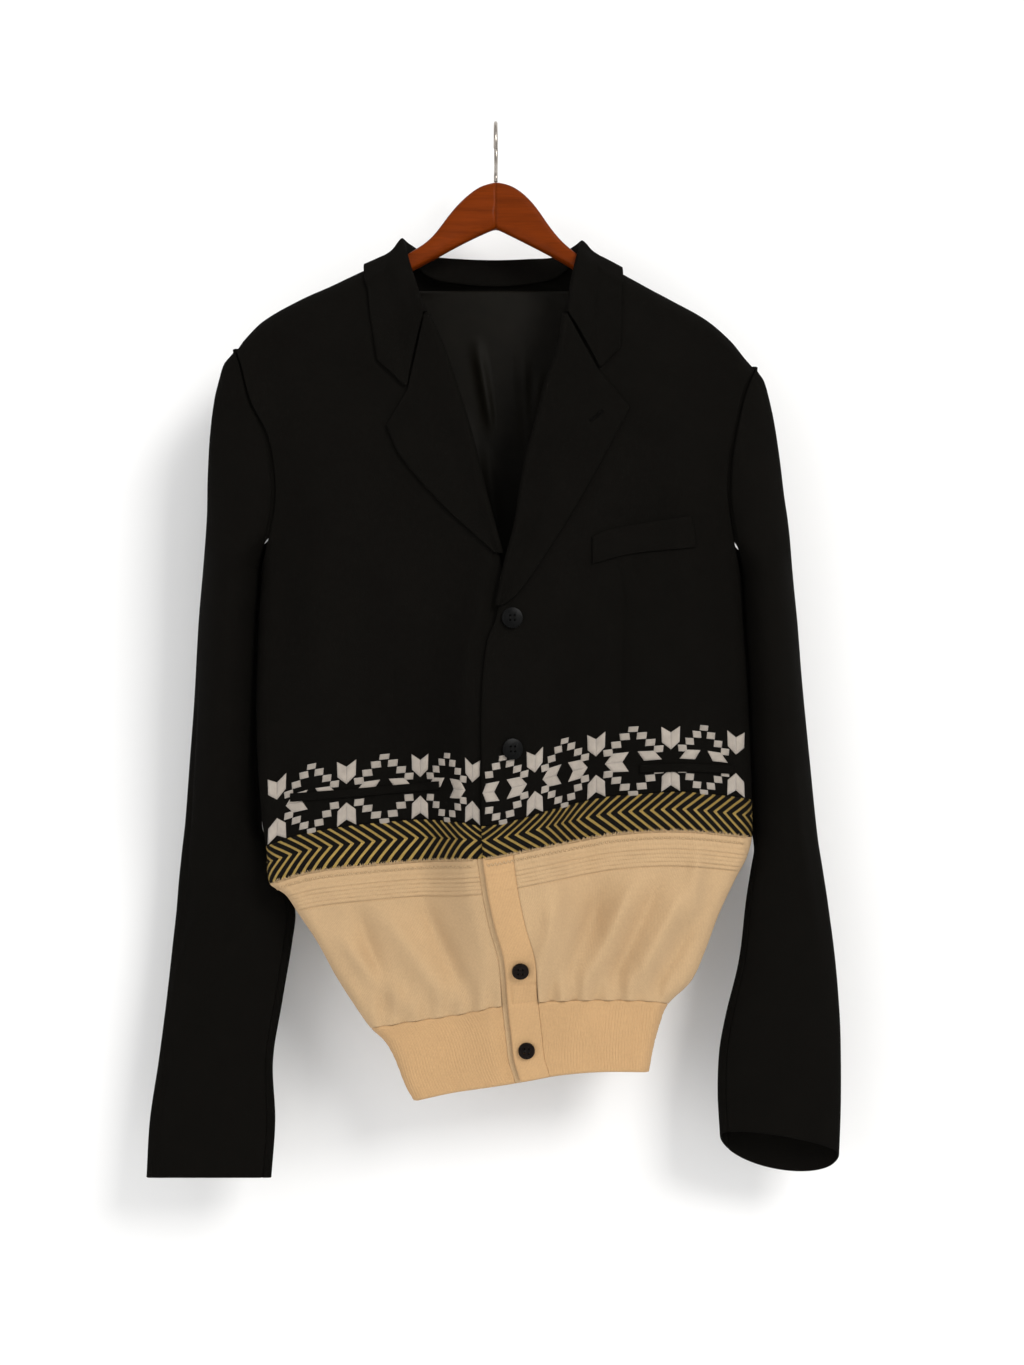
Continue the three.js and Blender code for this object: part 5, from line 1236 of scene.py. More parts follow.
def add_knit():
    settings = bpy.context.scene.blazer
    top = lowered(trim_bottom, WIDE_SEAM)
    left_closing = edge_run(upper_edge, top, rib_top, -PLACKET_TUCK - KNIT_GAP)
    right_closing = edge_run(upper_edge, top, rib_top, PLACKET_WIDTH + KNIT_GAP)
    side_l, side_r = edge_run(side_left, top, rib_top), edge_run(side_right, top, rib_top)
    front, left_front = gathered(front_depth, -1), gathered(left_front_depth, -1)
    back = gathered(back_depth, 1)
    knit = material("cream_knit")
    rows = np.concatenate([spaced(38, 0.62) * CLOSE_SHARE,
                           CLOSE_SHARE + (1 - CLOSE_SHARE) * spaced(115, 1.4)[1:]])
    for name, place, depth, other, width, ends in (
            ("knit_left", between(top, rib_top, side_l, left_closing), left_front, back, 200, (True, False)),
            ("knit_right", between(top, rib_top, right_closing, side_r), front, back, 215, (False, True)),
            ("knit_back", between(top, rib_top, side_r, side_l), back, front, 430, (True, True))):
        panel(f"{name}_cloth", surface_of(place, depth, other), spaced(width, 2.2, *ends), rows, KNIT,
              knit, "knit", [name], tuck_relief,
              rests_on=["braid" + name[4:] + "_cloth"])

    band_top = lowered(rib_top, KNIT_GAP)
    band_left = between(band_top, hem, edge_run(side_left, band_top, hem),
                        edge_run(upper_edge, band_top, hem, -PLACKET_TUCK - KNIT_GAP))
    band_right = between(band_top, hem, edge_run(upper_edge, band_top, hem, PLACKET_WIDTH + KNIT_GAP),
                         edge_run(side_right, band_top, hem))
    band_back = between(band_top, hem, edge_run(side_right, band_top, hem),
                        edge_run(side_left, band_top, hem))

    def ribs(u, v, points):
        across = run_lengths(points, 1)
        across = across - across[:, across.shape[1] // 2][:, None]
        edge = smooth(np.minimum(v, 1 - v) / RIB_EDGE)
        return RIB_HEIGHT * np.cos(2 * np.pi * across / settings.rib_pitch) * edge

    rib = material("cream_rib")
    for name, place, depth, other, width, ends in (
            ("waistband_left", band_left, left_front_depth, back_depth, 112, (True, False)),
            ("waistband_right", band_right, front_depth, back_depth, 106, (False, True)),
            ("waistband_back", band_back, back_depth, front_depth, 240, (True, True))):
        panel(f"{name}_cloth", surface_of(place, depth, other), spaced(width, 0.62, *ends),
              spaced(65, 2.0), BAND, rib, "knit", [name], ribs,
              rests_on=["knit" + name[9:] + "_cloth"])

    upper = between(top, hem, edge_run(upper_edge, top, hem), edge_run(upper_edge, top, hem, PLACKET_WIDTH))
    under = between(top, hem, edge_run(upper_edge, top, hem, -PLACKET_TUCK),
                    edge_run(upper_edge, top, hem, PLACKET_OVERLAP))

    def placket_relief(u, v, points):
        x, z = seen_places(points)
        height = with_tucks(np.zeros_like(v), trim_bottom(x) - WIDE_SEAM - z, PLACKET_TUCK_HEIGHT)
        sewn = groove(x, z, STITCHED_BOX, BOX_DEPTH, BOX_WIDTH)
        sunk = PLACKET_SINK * (1 - smooth(u / PLACKET_SINK_RUN))
        return height * smooth(u / PLACKET_TUCK_RUN) + sewn - sunk

    panel("placket_upper_cloth", surface_of(upper, front_depth, back_depth), spaced(27, 0.9),
          spaced(210, 1.2), PLACKET_WALL, rib, "knit", ["placket_upper"], placket_relief,
          rests_on=["knit_right_cloth"])
    panel("placket_under_cloth", surface_of(under, left_front_depth, back_depth), spaced(25, 1.2),
          spaced(210, 2.0), PLACKET_WALL, knit, "knit", ["placket_under"],
          rests_on=["knit_left_cloth"])


# Embroidery
# Where the middle of each star lies, by how many repeats from the closing, and a row past either end
STAR_PLACES = track([
    (-3.5, -228), (-3, -196.5), (-2, -134), (-1, -67.5), (0, -20.7), (1, 35.6), (2, 90.6), (3, 158),
    (4, 216.5), (4.5, 246)])
PERIOD, MOTIF_RISE = 66.0, 29.5
ARROW = [((8.3, 0), (15.3, 8.3), (29.3, 8.8), (23.8, 0)), ((8.3, 0), (15.3, -8.3), (29.3, -8.8), (23.8, 0))]
SQUARES = [(0, 29), (7.2, 22.7), (14.6, 16), (21.8, 9.6)]
SQUARE_WIDTH, SQUARE_HEIGHT, SQUARE_LEAN, END_SQUARE = 8.4, 6.0, 0.35, 0.8
# A pad of satin stitch: its rise, where its top and its foot lie, the share that is rounded, its points
# across, and the length of thread that its pattern runs over
PAD_HEIGHT, PAD_LIFT, PAD_FOOT, PAD_ROUND, PAD_POINTS, PAD_RUN = 0.75, 0.05, -0.4, 0.3, 7, 8
# The embroidered stretch of each front and of the back, and the back's middle
LEFT_STRETCH, RIGHT_STRETCH, BACK_STRETCH, BACK_MIDDLE = (-207.5, -13.5), (-11.5, 228), (-207, 229), 7
STRETCH_TRIM = 3


def turned(points, quarter):
    for _ in range(quarter):
        points = [(-z, x) for x, z in points]
    return points


def motif_quads(hide_below):
    """Corner points of the satin blocks of a star and of the diamond to its right."""
    star = []
    for quarter in range(4):
        for k, block in enumerate(ARROW):
            if hide_below and quarter in (0, 2) and (k == 1) == (quarter == 0):
                continue
            star.append(turned(block, quarter))
    diamond = []
    for x, z in SQUARES:
        for sign_x in ((1,) if x == 0 else (1, -1)):
            for sign_z in (1, -1):
                cx, cz = x * sign_x, z * sign_z
                w, h = SQUARE_WIDTH / 2, SQUARE_HEIGHT / 2
                if x == 0:
                    h *= END_SQUARE
                lean = SQUARE_LEAN * sign_x * sign_z
                diamond.append([(cx - w - lean, cz - h), (cx - w + lean, cz + h), (cx + w + lean, cz + h),
                                (cx + w - lean, cz - h)])
    return star, diamond


def add_pads(name, blocks, depth):
    """Raised blocks of satin stitch on a body surface."""
    count = PAD_POINTS
    t = np.linspace(0, 1, count)
    u, v = np.meshgrid(t, t)
    rise = quarter_round(np.minimum(np.minimum(u, 1 - u), np.minimum(v, 1 - v)) / PAD_ROUND)
    levels = (PAD_LIFT + PAD_HEIGHT * rise, np.full_like(rise, PAD_FOOT))
    vertices, faces, uvs = [], [], []
    for block in blocks:
        a, b, c, d = (np.array(point, float) for point in block)
        spots = (a * ((1 - u) * (1 - v))[..., None] + b * ((1 - u) * v)[..., None]
                 + c * (u * v)[..., None] + d * (u * (1 - v))[..., None])
        start = len(vertices)
        for lift in levels:
            points = over_surface(depth, spots[..., 0], spots[..., 1], lift)
            vertices += points.reshape(-1, 3).tolist()
        uvs += np.stack([u * PAD_RUN * MM, v * PAD_RUN * MM], axis=-1).reshape(-1, 2).tolist() * 2
        faces += grid_faces(count, count, start) + grid_faces(count, count, start + count * count, True)
        loop = border(count, count)
        after = np.roll(loop, -1)
        sides = np.stack([loop, after, after + count * count, loop + count * count], axis=1)
        faces += (sides + start).tolist()
    obj = new_object(name, vertices, faces, material("white_satin_thread"), uvs)
    face_out(obj)
    settle(obj, "knit")


def add_embroidery():
    def blocks_between(stretch, hidden):
        low, high = stretch
        blocks = []
        for k in range(-3, 5):
            centre = float(STAR_PLACES(k))
            star, diamond = motif_quads(hidden(centre))
            for shift, quads in ((0.0, star), (0.5, diamond)):
                for quad in quads:
                    spots = []
                    for x, z in quad:
                        seen = float(STAR_PLACES(k + shift + x / PERIOD))
                        spots.append((seen, float(trim_top(seen)) + MOTIF_RISE + z))
                    xs = [spot[0] for spot in spots]
                    if low - STRETCH_TRIM < min(xs) and low + STRETCH_TRIM < max(xs) < high:
                        blocks.append([(max(x, low), z) for x, z in spots])
        return blocks

    # The stars at the pocket openings go without the lower halves of their side arrows
    left = blocks_between(LEFT_STRETCH, lambda x: -190 < x < -60)
    right = blocks_between(RIGHT_STRETCH, lambda x: x > 130)
    add_pads("embroidery_left", left, left_front_depth)
    add_pads("embroidery_right", right, front_depth)
    back = []
    for k in range(-3, 4):
        star, diamond = motif_quads(False)
        for shift, quads in ((0.0, star), (PERIOD / 2, diamond)):
            for quad in quads:
                spots = [(BACK_MIDDLE + PERIOD * k + shift + x, z) for x, z in quad]
                xs = [spot[0] for spot in spots]
                if BACK_STRETCH[0] < min(xs) and max(xs) < BACK_STRETCH[1]:
                    back.append([(x, float(trim_top(x)) + MOTIF_RISE + z) for x, z in spots][::-1])
    add_pads("embroidery_back", back, back_depth)


# Stitches and fuzz
def strands(name, paths, radius, sides, material_name, slot, *nodes):
    """Many short threads, each a tapered tube along a few points."""
    vertices, faces = [], []
    ring = np.linspace(0, 2 * np.pi, sides, endpoint=False)
    for path, thick in paths:
        path = np.asarray(path, float)
        along = np.gradient(path, axis=0)
        along /= np.maximum(np.linalg.norm(along, axis=1, keepdims=True), 1e-9)
        aside = np.cross(along, [0.3, 0.9, 0.2])
        aside /= np.linalg.norm(aside, axis=1, keepdims=True)
        up = np.cross(along, aside)
        start = len(vertices)
        for k, point in enumerate(path):
            width = radius * thick[k]
            circle = (aside[k][None] * np.cos(ring)[:, None] + up[k][None] * np.sin(ring)[:, None]) * width
            vertices += (point[None] + circle).tolist()
        for k in range(len(path) - 1):
            for i in range(sides):
                j = (i + 1) % sides
                a, b = start + k * sides, start + (k + 1) * sides
                faces.append([a + i, a + j, b + j, b + i])
        faces.append([start + i for i in range(sides)][::-1])
        faces.append([start + (len(path) - 1) * sides + i for i in range(sides)])
    obj = new_object(name, vertices, faces, material(material_name))
    face_out(obj)
    settle(obj, slot, *nodes)


# The zigzag: its pitch, its low and high points below the edge, and how far it stands off
ZIGZAG_PITCH, ZIGZAG_LOW, ZIGZAG_HIGH, ZIGZAG_LIFT, ZIGZAG_RADIUS = 1.9, 8.2, 5.6, (0.1, 0.55, 0.1), 0.42
FIBRES_FOR_A_MM = 2.2


def add_overlock():
    """The overlocked top edge of the knit: a zigzag of thread and loose fibres over the edge."""
    generator = np.random.default_rng(4)
    for name, depth, start, end in (
            ("overlock_left", left_front_depth, -199.0, -20.0), ("overlock_right", front_depth, -9.0, 226.0),
            ("overlock_back", back_depth, -199.0, 226.0)):
        paths = []
        x, k = start + 1.5, 0
        pitch = ZIGZAG_PITCH
        while x < end - 2:
            low, high = trim_bottom(x) - ZIGZAG_LOW, trim_bottom(x + pitch) - ZIGZAG_HIGH
            ends = (low, high) if k % 2 else (high, low)
            spots = np.array([x, x + pitch / 2, x + pitch])
            heights = np.array([ends[0], sum(ends) / 2, ends[1]])
            paths.append((over_surface(depth, spots, heights, np.array(ZIGZAG_LIFT)), (0.7, 1, 0.7)))
            x += pitch
            k += 1
        for _ in range(int((end - start) * FIBRES_FOR_A_MM)):
            x = generator.uniform(start + 0.5, end - 0.5)
            lean, rise = generator.uniform(-1.2, 1.2), generator.uniform(0.8, 3.0)
            base = float(trim_bottom(x)) - WIDE_SEAM
            spots = np.array([x, x + lean * 0.4, x + lean])
            heights = np.array([base - 1.2, base + rise * 0.5, base + rise])
            lifts = np.array([0.25, 1.7, 2.0 + generator.uniform(0, 0.8)])
            paths.append((over_surface(depth, spots, heights, lifts), (0.55, 0.4, 0.15)))
        strands(name, paths, ZIGZAG_RADIUS, 4, "cream_thread", "knit")


BUTTONHOLE = dict(x=91.0, z=-273.0, length=15.0, tilt=math.radians(38), stitches=26)
STITCH_INSIDE, STITCH_OUTSIDE, STITCH_LIFT, STITCH_RADIUS = 0.3, 1.5, 0.45, 0.34


def add_buttonhole():
    """The worked buttonhole on the right lapel."""
    surface = lapel_surface("right")
    u, v = np.meshgrid(np.linspace(0, 1, 120), np.linspace(0, 1, 160))
    points = surface(u, v)
    x, z = seen_places(points)
    length, tilt = BUTTONHOLE["length"], BUTTONHOLE["tilt"]

    def spot(along, aside):
        sx = BUTTONHOLE["x"] + along * math.cos(tilt) - aside * math.sin(tilt)
        sz = BUTTONHOLE["z"] + along * math.sin(tilt) + aside * math.cos(tilt)
        nearest = np.argmin((x - sx) ** 2 + (z - sz) ** 2)
        i, j = np.unravel_index(nearest, x.shape)
        return points[i, j] + np.array([0, -STITCH_LIFT, 0])

    paths = []
    for along in np.linspace(-length / 2, length / 2, BUTTONHOLE["stitches"]):
        for side in (-1, 1):
            ends = [spot(along, side * STITCH_INSIDE), spot(along, side * STITCH_OUTSIDE)]
            paths.append((ends, (1, 1)))
    strands("lapel_buttonhole", paths, STITCH_RADIUS, 4, "black_thread", "wool")


# Hanger
def deselect():
    if bpy.context.object and bpy.context.object.mode != "OBJECT":
        bpy.ops.object.mode_set(mode="OBJECT")
    bpy.ops.object.select_all(action="DESELECT")


def activate(obj):
    deselect()
    obj.select_set(True)
    bpy.context.view_layer.objects.active = obj


def apply_modifier(obj, kind, **settings):
    activate(obj)
    modifier = obj.modifiers.new(kind.lower(), kind)
    for key, value in settings.items():
        setattr(modifier, key, value)
    bpy.ops.object.modifier_apply(modifier=modifier.name)


# In metres: half the glue line, how near the middle the glued end lies, and what counts as one point
GLUE_LINE, GLUED_END, ONE_POINT = 0.00002, 0.0007, 1e-5


def add_arm(node, name, finish):
    """A finer copy of one wooden arm of the frame, merged and rounded, but for its glued end."""
    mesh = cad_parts[node].data.copy()
    mesh.name = name
    obj = bpy.data.objects.new(name, mesh)
    bpy.context.scene.collection.objects.link(obj)
    work = bmesh.new()
    work.from_mesh(mesh)
    bmesh.ops.remove_doubles(work, verts=work.verts[:], dist=ONE_POINT)
    bmesh.ops.join_triangles(work, faces=work.faces[:], angle_face_threshold=math.radians(50),
                             angle_shape_threshold=math.radians(180), cmp_seam=False, cmp_sharp=False,
                             cmp_uvs=False, cmp_vcols=False, cmp_materials=False)
    creases = work.edges.layers.float.new("crease_edge")
    for edge in work.edges:
        if all(abs(vertex.co.x) < GLUED_END for vertex in edge.verts):
            edge[creases] = 1.0
    work.to_mesh(mesh)
    work.free()
    mesh.materials.clear()
    mesh.materials.append(material(finish))
    apply_modifier(obj, "SUBSURF", levels=2, render_levels=2)
    mesh = obj.data
    for vertex in mesh.vertices:
        if abs(vertex.co.x) < GLUED_END:
            vertex.co.x = math.copysign(GLUE_LINE, vertex.co.x)
    mesh.polygons.foreach_set("use_smooth", np.full(len(mesh.polygons), True))
    settle(obj, "wood", node)


HOOK_WIRE, HOOK_BEND, SHANK_FOOT, SHANK_RUN, HOOK_NECK, HOOK_MOUTH = 3.6, 20.0, -51.3, 6.0, -60.0, 205.0
WIRE_SIDES = 20


def add_hook():
    """A round wire: up from the wood, round behind and over to the front."""
    centre = HOOK_WIRE / 2 - HOOK_BEND
    angles = np.radians(np.linspace(HOOK_NECK, HOOK_MOUTH, 14))
    bend = [(HOOK_BEND * math.cos(a), centre + HOOK_BEND * math.sin(a)) for a in angles]
    along = flowing([(0, SHANK_FOOT), (0, SHANK_FOOT + SHANK_RUN), *bend])
    y, z = along(np.linspace(0, 1, 110))
    path = np.stack([np.zeros_like(y), y, z], axis=1)
    thickness = np.ones(len(path))
    strands("hook_wire", [(path, thickness)], HOOK_WIRE / 2, WIRE_SIDES, "bare_steel", "steel",
            "hanger_hook")


def add_hanger():
    add_arm("hanger_arm_left", "hanger_wood_left", "wood_left")
    add_arm("hanger_arm_right", "hanger_wood_right", "wood_right")
    add_hook()


# Buttons
BUTTONS = [
    ("button_front_1", 15, -455, 18.5, "black_horn"), ("button_front_2", 15, -573, 18.5, "black_horn"),
    ("button_placket_1", 22.5, -772, 15, "brown_horn"), ("button_placket_2", 28, -844, 15, "brown_horn")]
BUTTON_THICK, BUTTON_BLANK, HOLE_RADIUS, HOLE_OFFSET = 3.2, 2.6, 0.95, 2.0
BUTTON_BEVEL, BUTTON_SIDES, HOLE_SIDES = 0.28, 48, 16
# Steps of the face from the rim to the dish: how wide, and how far up or down
FACE_STEPS = [(0.9, 0.6), (1.1, 0.0), (0.8, -0.9), (0.6, -0.1)]
THREAD_SPREAD, THREAD_FOOT, THREAD_TOP, THREAD_DRAWN_IN = 0.35, 0.4, 2.75, 0.6


def select_faces(mesh, test):
    for face in mesh.faces:
        face.select = test(face)
    mesh.select_flush_mode()


def model_button(name, diameter, finish):
    """A round button with a rim, a dished face and four holes, lying flat at the origin."""
    radius = diameter / 2 * MM
    deselect()
    bpy.ops.mesh.primitive_cylinder_add(vertices=BUTTON_SIDES, radius=radius, depth=BUTTON_BLANK * MM,
                                        location=(0, 0, BUTTON_BLANK / 2 * MM))
    obj = bpy.context.object
    obj.name = name
    bpy.ops.object.transform_apply(location=True, rotation=True, scale=True)
    bpy.ops.object.mode_set(mode="EDIT")
    edit = bmesh.from_edit_mesh(obj.data)
    select_faces(edit, lambda face: face.normal.z > 0.9)
    bmesh.update_edit_mesh(obj.data)
    for thickness, depth in FACE_STEPS:
        bpy.ops.mesh.inset(thickness=thickness * MM, depth=depth * MM)
    bpy.ops.object.mode_set(mode="OBJECT")
    apply_modifier(obj, "BEVEL", width=BUTTON_BEVEL * MM, segments=3, limit_method="ANGLE",
                   angle_limit=math.radians(25))
    for sx in (-1, 1):
        for sy in (-1, 1):
            deselect()
            bpy.ops.mesh.primitive_cylinder_add(
                vertices=HOLE_SIDES, radius=HOLE_RADIUS * MM, depth=12 * MM,
                location=(sx * HOLE_OFFSET * MM, sy * HOLE_OFFSET * MM, 0))
            drill = bpy.context.object
            apply_modifier(obj, "BOOLEAN", operation="DIFFERENCE", object=drill, solver="EXACT")
            bpy.data.objects.remove(drill)
    activate(obj)
    bpy.ops.object.shade_smooth_by_angle(angle=math.radians(35))
    obj.data.materials.clear()
    obj.data.materials.append(material(finish))
    return obj


def button_frame(x, z):
    """Which way is up from the front where a button lies, and the turn that lays it flat there."""
    point = over_surface(front_depth, x, z, 0.0)
    up = over_surface(front_depth, x, z, 1.0) - point
    right = over_surface(front_depth, x + 2.0, z, 0.0) - over_surface(front_depth, x - 2.0, z, 0.0)
    right = right - up * np.dot(right, up)
    right /= np.linalg.norm(right)
    level = np.cross(up, right)
    turn = Matrix([[right[k], level[k], up[k]] for k in range(3)]).to_4x4()
    return up, turn


def add_buttons():
    for name, x, z, diameter, finish in BUTTONS:
        obj = model_button(f"{name}_horn", diameter, finish)
        up, turn = button_frame(float(x), float(z))
        low, high = (Vector(end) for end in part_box(name))
        centre = (low + high) / 2
        seat = Matrix.Translation(centre - Vector(up) * BUTTON_THICK / 2 * MM)
        obj.data.transform(seat @ turn)
        settle(obj, "button", name)
        paths = []
        for sx in (-1, 1):
            for k in (-THREAD_SPREAD, 0, THREAD_SPREAD):
                low_x, high_x = sx * HOLE_OFFSET + k, sx * HOLE_OFFSET + k * THREAD_DRAWN_IN
                high_y = HOLE_OFFSET * THREAD_DRAWN_IN
                ends = [Vector((low_x, -HOLE_OFFSET, THREAD_FOOT)), Vector((high_x, -high_y, THREAD_TOP)),
                        Vector((high_x, high_y, THREAD_TOP)), Vector((low_x, HOLE_OFFSET, THREAD_FOOT))]
                paths.append(([list((seat @ turn @ (end * MM)) / MM) for end in ends], (1, 1, 1, 1)))
        strands(f"{name}_thread", paths, 0.3, 5, "black_thread", "button")


# Stage
def add_area_light(name, location, target, size, power, colour=(1, 1, 1)):
    light = bpy.data.lights.new(name, "AREA")
    light.shape = "SQUARE"
    light.size = size
    light.energy = power
    light.color = colour
    obj = bpy.data.objects.new(name, light)
    obj.location = location
    obj.rotation_euler = (Vector(target) - Vector(location)).to_track_quat("-Z", "Y").to_euler()
    bpy.context.scene.collection.objects.link(obj)


# The wall, the floor and the reach of the stage, in metres, and the round between wall and floor
WALL_Y, FLOOR_Z, STAGE_REACH, WALL_HEIGHT, STAGE_ROUND, ROUND_STEPS = 0.09, -1.6, 4.0, 5.0, 0.5, 12
FILL_SHARE = 0.28
# The picture's height in pixels, what a pixel is worth on the plane of the fronts, and the sensor
PICTURE_HEIGHT, PIXEL, SENSOR_HEIGHT, CLIP_START = 1365, 0.9, 24, 0.05


def add_stage():
    """A pale wall that runs down into a pale floor, soft studio light, and the camera."""
    bpy.context.scene.view_settings.view_transform = "Standard"
    deselect()
    bpy.ops.mesh.primitive_plane_add(size=1, location=(0, 0, 0))
    stage = bpy.context.object
    stage.name = "pale_wall_and_floor"
    bpy.ops.object.mode_set(mode="EDIT")
    edit = bmesh.from_edit_mesh(stage.data)
    for vertex in edit.verts:
        far = vertex.co.y > 0
        vertex.co = Vector((vertex.co.x * 2 * STAGE_REACH, WALL_Y if far else -STAGE_REACH, FLOOR_Z))
    for edge in edit.edges:
        edge.select = all(vertex.co.y > 0 for vertex in edge.verts)
    for vertex in edit.verts:
        vertex.select = vertex.co.y > 0
    edit.select_mode = {"EDGE"}
    bmesh.update_edit_mesh(stage.data)
    bpy.ops.mesh.extrude_edges_move(TRANSFORM_OT_translate={"value": (0, 0, WALL_HEIGHT)})
    bpy.ops.object.mode_set(mode="OBJECT")
    apply_modifier(stage, "BEVEL", width=STAGE_ROUND, segments=ROUND_STEPS, limit_method="ANGLE",
                   angle_limit=math.radians(30))
    stage.data.polygons.foreach_set("use_smooth", np.full(len(stage.data.polygons), True))
    paint = Finish("pale_paint", (0.86, 0.86, 0.86), 0.9)
    paint.colour(paint.mix(paint.noise(3, 2), (0.85, 0.85, 0.85, 1), (0.88, 0.88, 0.88, 1)))
    stage.data.materials.append(paint.material)

    world = bpy.data.worlds.new("soft_room")
    world.use_nodes = True
    background = world.node_tree.nodes["Background"]
    background.inputs["Color"].default_value = (1, 1, 1, 1)
    background.inputs["Strength"].default_value = bpy.context.scene.blazer.room_light
    bpy.context.scene.world = world
    key = bpy.context.scene.blazer.key_light
    add_area_light("key_light", (1.5, -2.3, 1.0), (0, 0, -0.45), 1.0, key, (1, 0.985, 0.96))
    add_area_light("fill_light", (-1.8, -2.2, -0.2), (0, 0, -0.5), 2.0, key * FILL_SHARE)

    camera = bpy.data.cameras.new("camera")
    camera.sensor_fit = "VERTICAL"
    camera.sensor_height = SENSOR_HEIGHT
    camera.lens = SENSOR_HEIGHT / 2 / (PICTURE_HEIGHT * PIXEL / 2 / EYE_DISTANCE)
    camera.clip_start = CLIP_START
    obj = bpy.data.objects.new("camera", camera)
    obj.location = (EYE_X * MM, (EYE_PLANE - EYE_DISTANCE) * MM, EYE_Z * MM)
    obj.rotation_euler = (math.radians(90), 0, 0)
    bpy.context.scene.collection.objects.link(obj)
    bpy.context.scene.camera = obj


# Settings, operators and panel
def colour_setting(name, description, default):
    return FloatVectorProperty(name=name, description=description, subtype="COLOR", size=3,
                               default=default, min=0, max=1)


class BlazerSettings(bpy.types.PropertyGroup):
    wool_colour: colour_setting("Wool", "Colour of the black cloth", (0.0038, 0.0034, 0.0028))
    knit_colour: colour_setting("Knit", "Colour of the fine knit", (0.52, 0.35, 0.19))
    rib_colour: colour_setting("Rib", "Colour of the waistband and placket", (0.54, 0.335, 0.163))
    gold_colour: colour_setting("Gold", "Colour of the metal thread in the braid", (0.52, 0.36, 0.11))
    thread_colour: colour_setting("Thread", "Colour of the embroidery", (0.46, 0.4, 0.34))
    wood_colour: colour_setting("Wood", "Colour of the hanger", (0.118, 0.0185, 0.0009))
    bar_pitch: FloatProperty(
        name="Bar pitch", description="From one bar of the braid to the next, in millimetres",
        default=9.74, min=5, max=15)
    bar_slant: FloatProperty(
        name="Bar slant", description="How far a bar runs sideways on its way to the spine, in millimetres",
        default=20.0, min=0, max=40)
    rib_pitch: FloatProperty(
        name="Rib pitch", description="From one rib of the waistband to the next, in millimetres",
        default=2.6, min=1.5, max=6)
    key_light: FloatProperty(
        name="Key light", description="Power of the main light", default=58.0, min=0, unit="POWER")
    room_light: FloatProperty(
        name="Room light", description="Strength of the light from all round", default=0.72, min=0)


class BLAZER_OT_stage(bpy.types.Operator):
    """Adds the wall, the floor, the light and the camera"""
    bl_idname = "blazer.stage"
    bl_label = "Stage"
    bl_options = {"REGISTER", "UNDO"}

    def execute(self, context):
        add_stage()
        return {"FINISHED"}


class BLAZER_OT_hanger(bpy.types.Operator):
    """Adds the wooden arms and the wire hook"""
    bl_idname = "blazer.hanger"
    bl_label = "Hanger"
    bl_options = {"REGISTER", "UNDO"}

    def execute(self, context):
        add_hanger()
        return {"FINISHED"}


class BLAZER_OT_pockets(bpy.types.Operator):
    """Adds the breast welt and the two hip welts"""
    bl_idname = "blazer.pockets"
    bl_label = "Pockets"
    bl_options = {"REGISTER", "UNDO"}

    def execute(self, context):
        add_welts()
        return {"FINISHED"}


class BLAZER_OT_embroidery(bpy.types.Operator):
    """Adds the band of stars and diamonds"""
    bl_idname = "blazer.embroidery"
    bl_label = "Embroidery"
    bl_options = {"REGISTER", "UNDO"}

    def execute(self, context):
        add_embroidery()
        return {"FINISHED"}


class BLAZER_OT_body(bpy.types.Operator):
    """Adds the two black fronts and the back"""
    bl_idname = "blazer.body"
    bl_label = "Body"
    bl_options = {"REGISTER", "UNDO"}

    def execute(self, context):
        add_body()
        return {"FINISHED"}


class BLAZER_OT_lining(bpy.types.Operator):
    """Adds the lining that shows in the neck"""
    bl_idname = "blazer.lining"
    bl_label = "Lining"
    bl_options = {"REGISTER", "UNDO"}

    def execute(self, context):
        add_lining()
        return {"FINISHED"}


class BLAZER_OT_lapels(bpy.types.Operator):
    """Adds the lapels and the worked buttonhole"""
    bl_idname = "blazer.lapels"
    bl_label = "Lapels"
    bl_options = {"REGISTER", "UNDO"}

    def execute(self, context):
        add_lapels()
        add_buttonhole()
        return {"FINISHED"}


class BLAZER_OT_collar(bpy.types.Operator):
    """Adds the collar"""
    bl_idname = "blazer.collar"
    bl_label = "Collar"
    bl_options = {"REGISTER", "UNDO"}

    def execute(self, context):
        add_collar()
        return {"FINISHED"}


class BLAZER_OT_sleeves(bpy.types.Operator):
    """Adds both sleeves"""
    bl_idname = "blazer.sleeves"
    bl_label = "Sleeves"
    bl_options = {"REGISTER", "UNDO"}

    def execute(self, context):
        add_sleeve("left")
        add_sleeve("right")
        return {"FINISHED"}


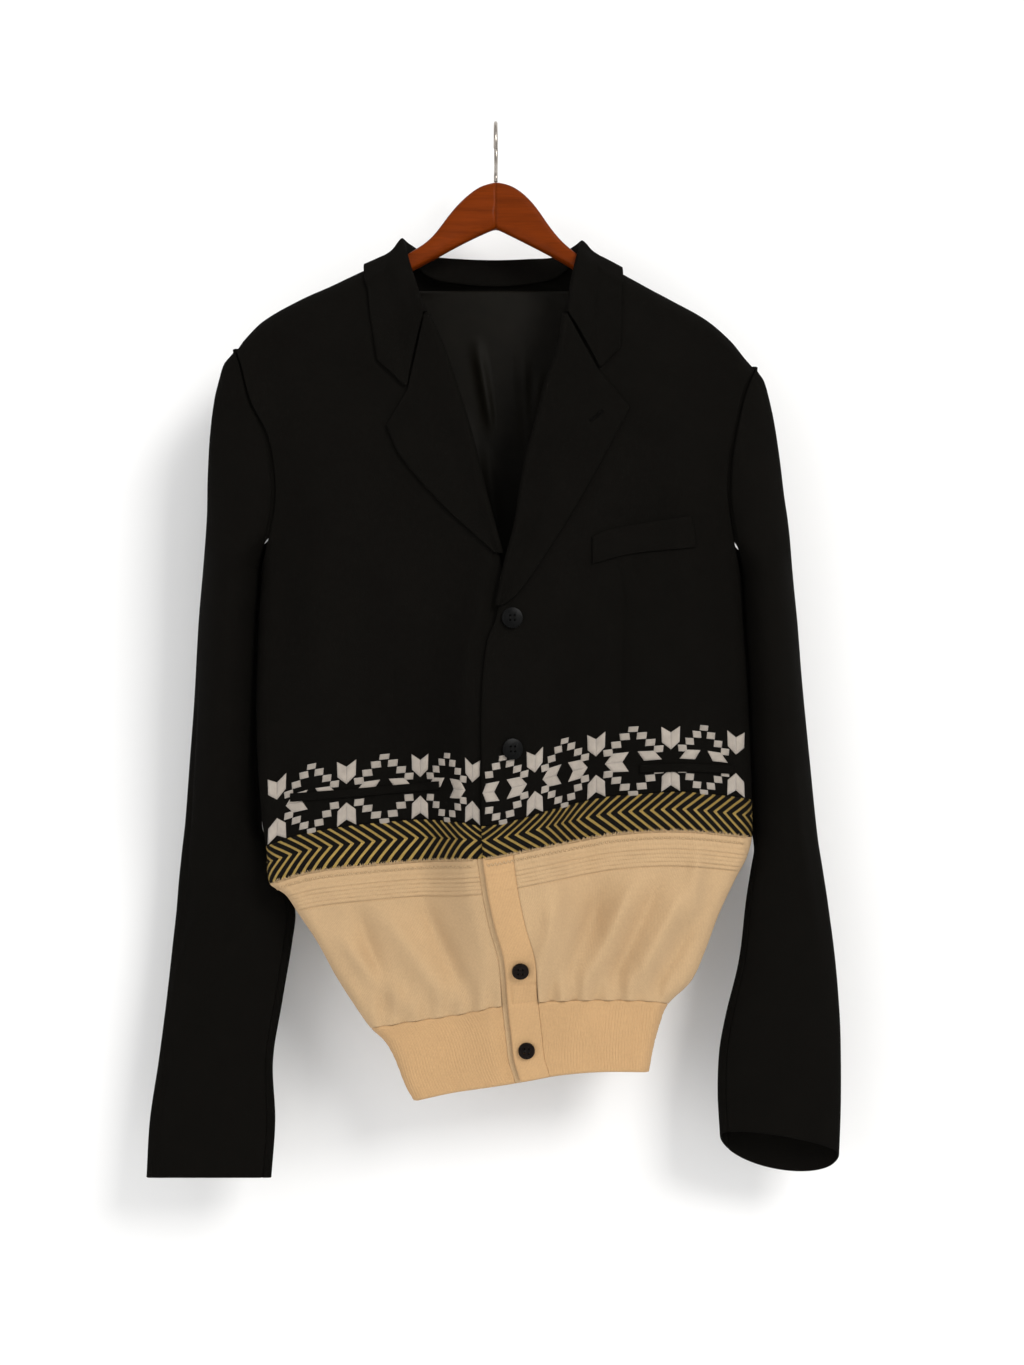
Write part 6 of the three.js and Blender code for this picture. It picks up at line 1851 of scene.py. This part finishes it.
class BLAZER_OT_braid(bpy.types.Operator):
    """Adds the gold and black braid all round"""
    bl_idname = "blazer.braid"
    bl_label = "Braid"
    bl_options = {"REGISTER", "UNDO"}

    def execute(self, context):
        add_braids()
        return {"FINISHED"}


class BLAZER_OT_knit(bpy.types.Operator):
    """Adds the knit, the waistband and the plackets"""
    bl_idname = "blazer.knit"
    bl_label = "Knit"
    bl_options = {"REGISTER", "UNDO"}

    def execute(self, context):
        add_knit()
        return {"FINISHED"}


class BLAZER_OT_overlock(bpy.types.Operator):
    """Adds the overlocked edge of the knit"""
    bl_idname = "blazer.overlock"
    bl_label = "Overlock"
    bl_options = {"REGISTER", "UNDO"}

    def execute(self, context):
        add_overlock()
        return {"FINISHED"}


class BLAZER_OT_buttons(bpy.types.Operator):
    """Adds the four buttons and their thread"""
    bl_idname = "blazer.buttons"
    bl_label = "Buttons"
    bl_options = {"REGISTER", "UNDO"}

    def execute(self, context):
        add_buttons()
        return {"FINISHED"}


OPERATORS = [
    BLAZER_OT_stage,
    BLAZER_OT_hanger,
    BLAZER_OT_pockets,
    BLAZER_OT_embroidery,
    BLAZER_OT_body,
    BLAZER_OT_lining,
    BLAZER_OT_lapels,
    BLAZER_OT_collar,
    BLAZER_OT_sleeves,
    BLAZER_OT_braid,
    BLAZER_OT_knit,
    BLAZER_OT_overlock,
    BLAZER_OT_buttons,
]


class BLAZER_PT_panel(bpy.types.Panel):
    """Lists the pieces and their settings."""
    bl_label = "Blazer"
    bl_idname = "BLAZER_PT_panel"
    bl_space_type = "VIEW_3D"
    bl_region_type = "UI"
    bl_category = "Blazer"

    def draw(self, context):
        for key in BlazerSettings.__annotations__:
            self.layout.prop(context.scene.blazer, key)
        for operator in OPERATORS:
            self.layout.operator(operator.bl_idname)


CLASSES = [BlazerSettings, *OPERATORS, BLAZER_PT_panel]


def register():
    for item in CLASSES:
        bpy.utils.register_class(item)
    bpy.types.Scene.blazer = PointerProperty(type=BlazerSettings)


def unregister():
    del bpy.types.Scene.blazer
    for item in reversed(CLASSES):
        bpy.utils.unregister_class(item)


def main():
    register()
    for operator in OPERATORS:
        getattr(bpy.ops.blazer, operator.bl_idname.split(".")[1])()


if __name__ == "__main__":
    main()
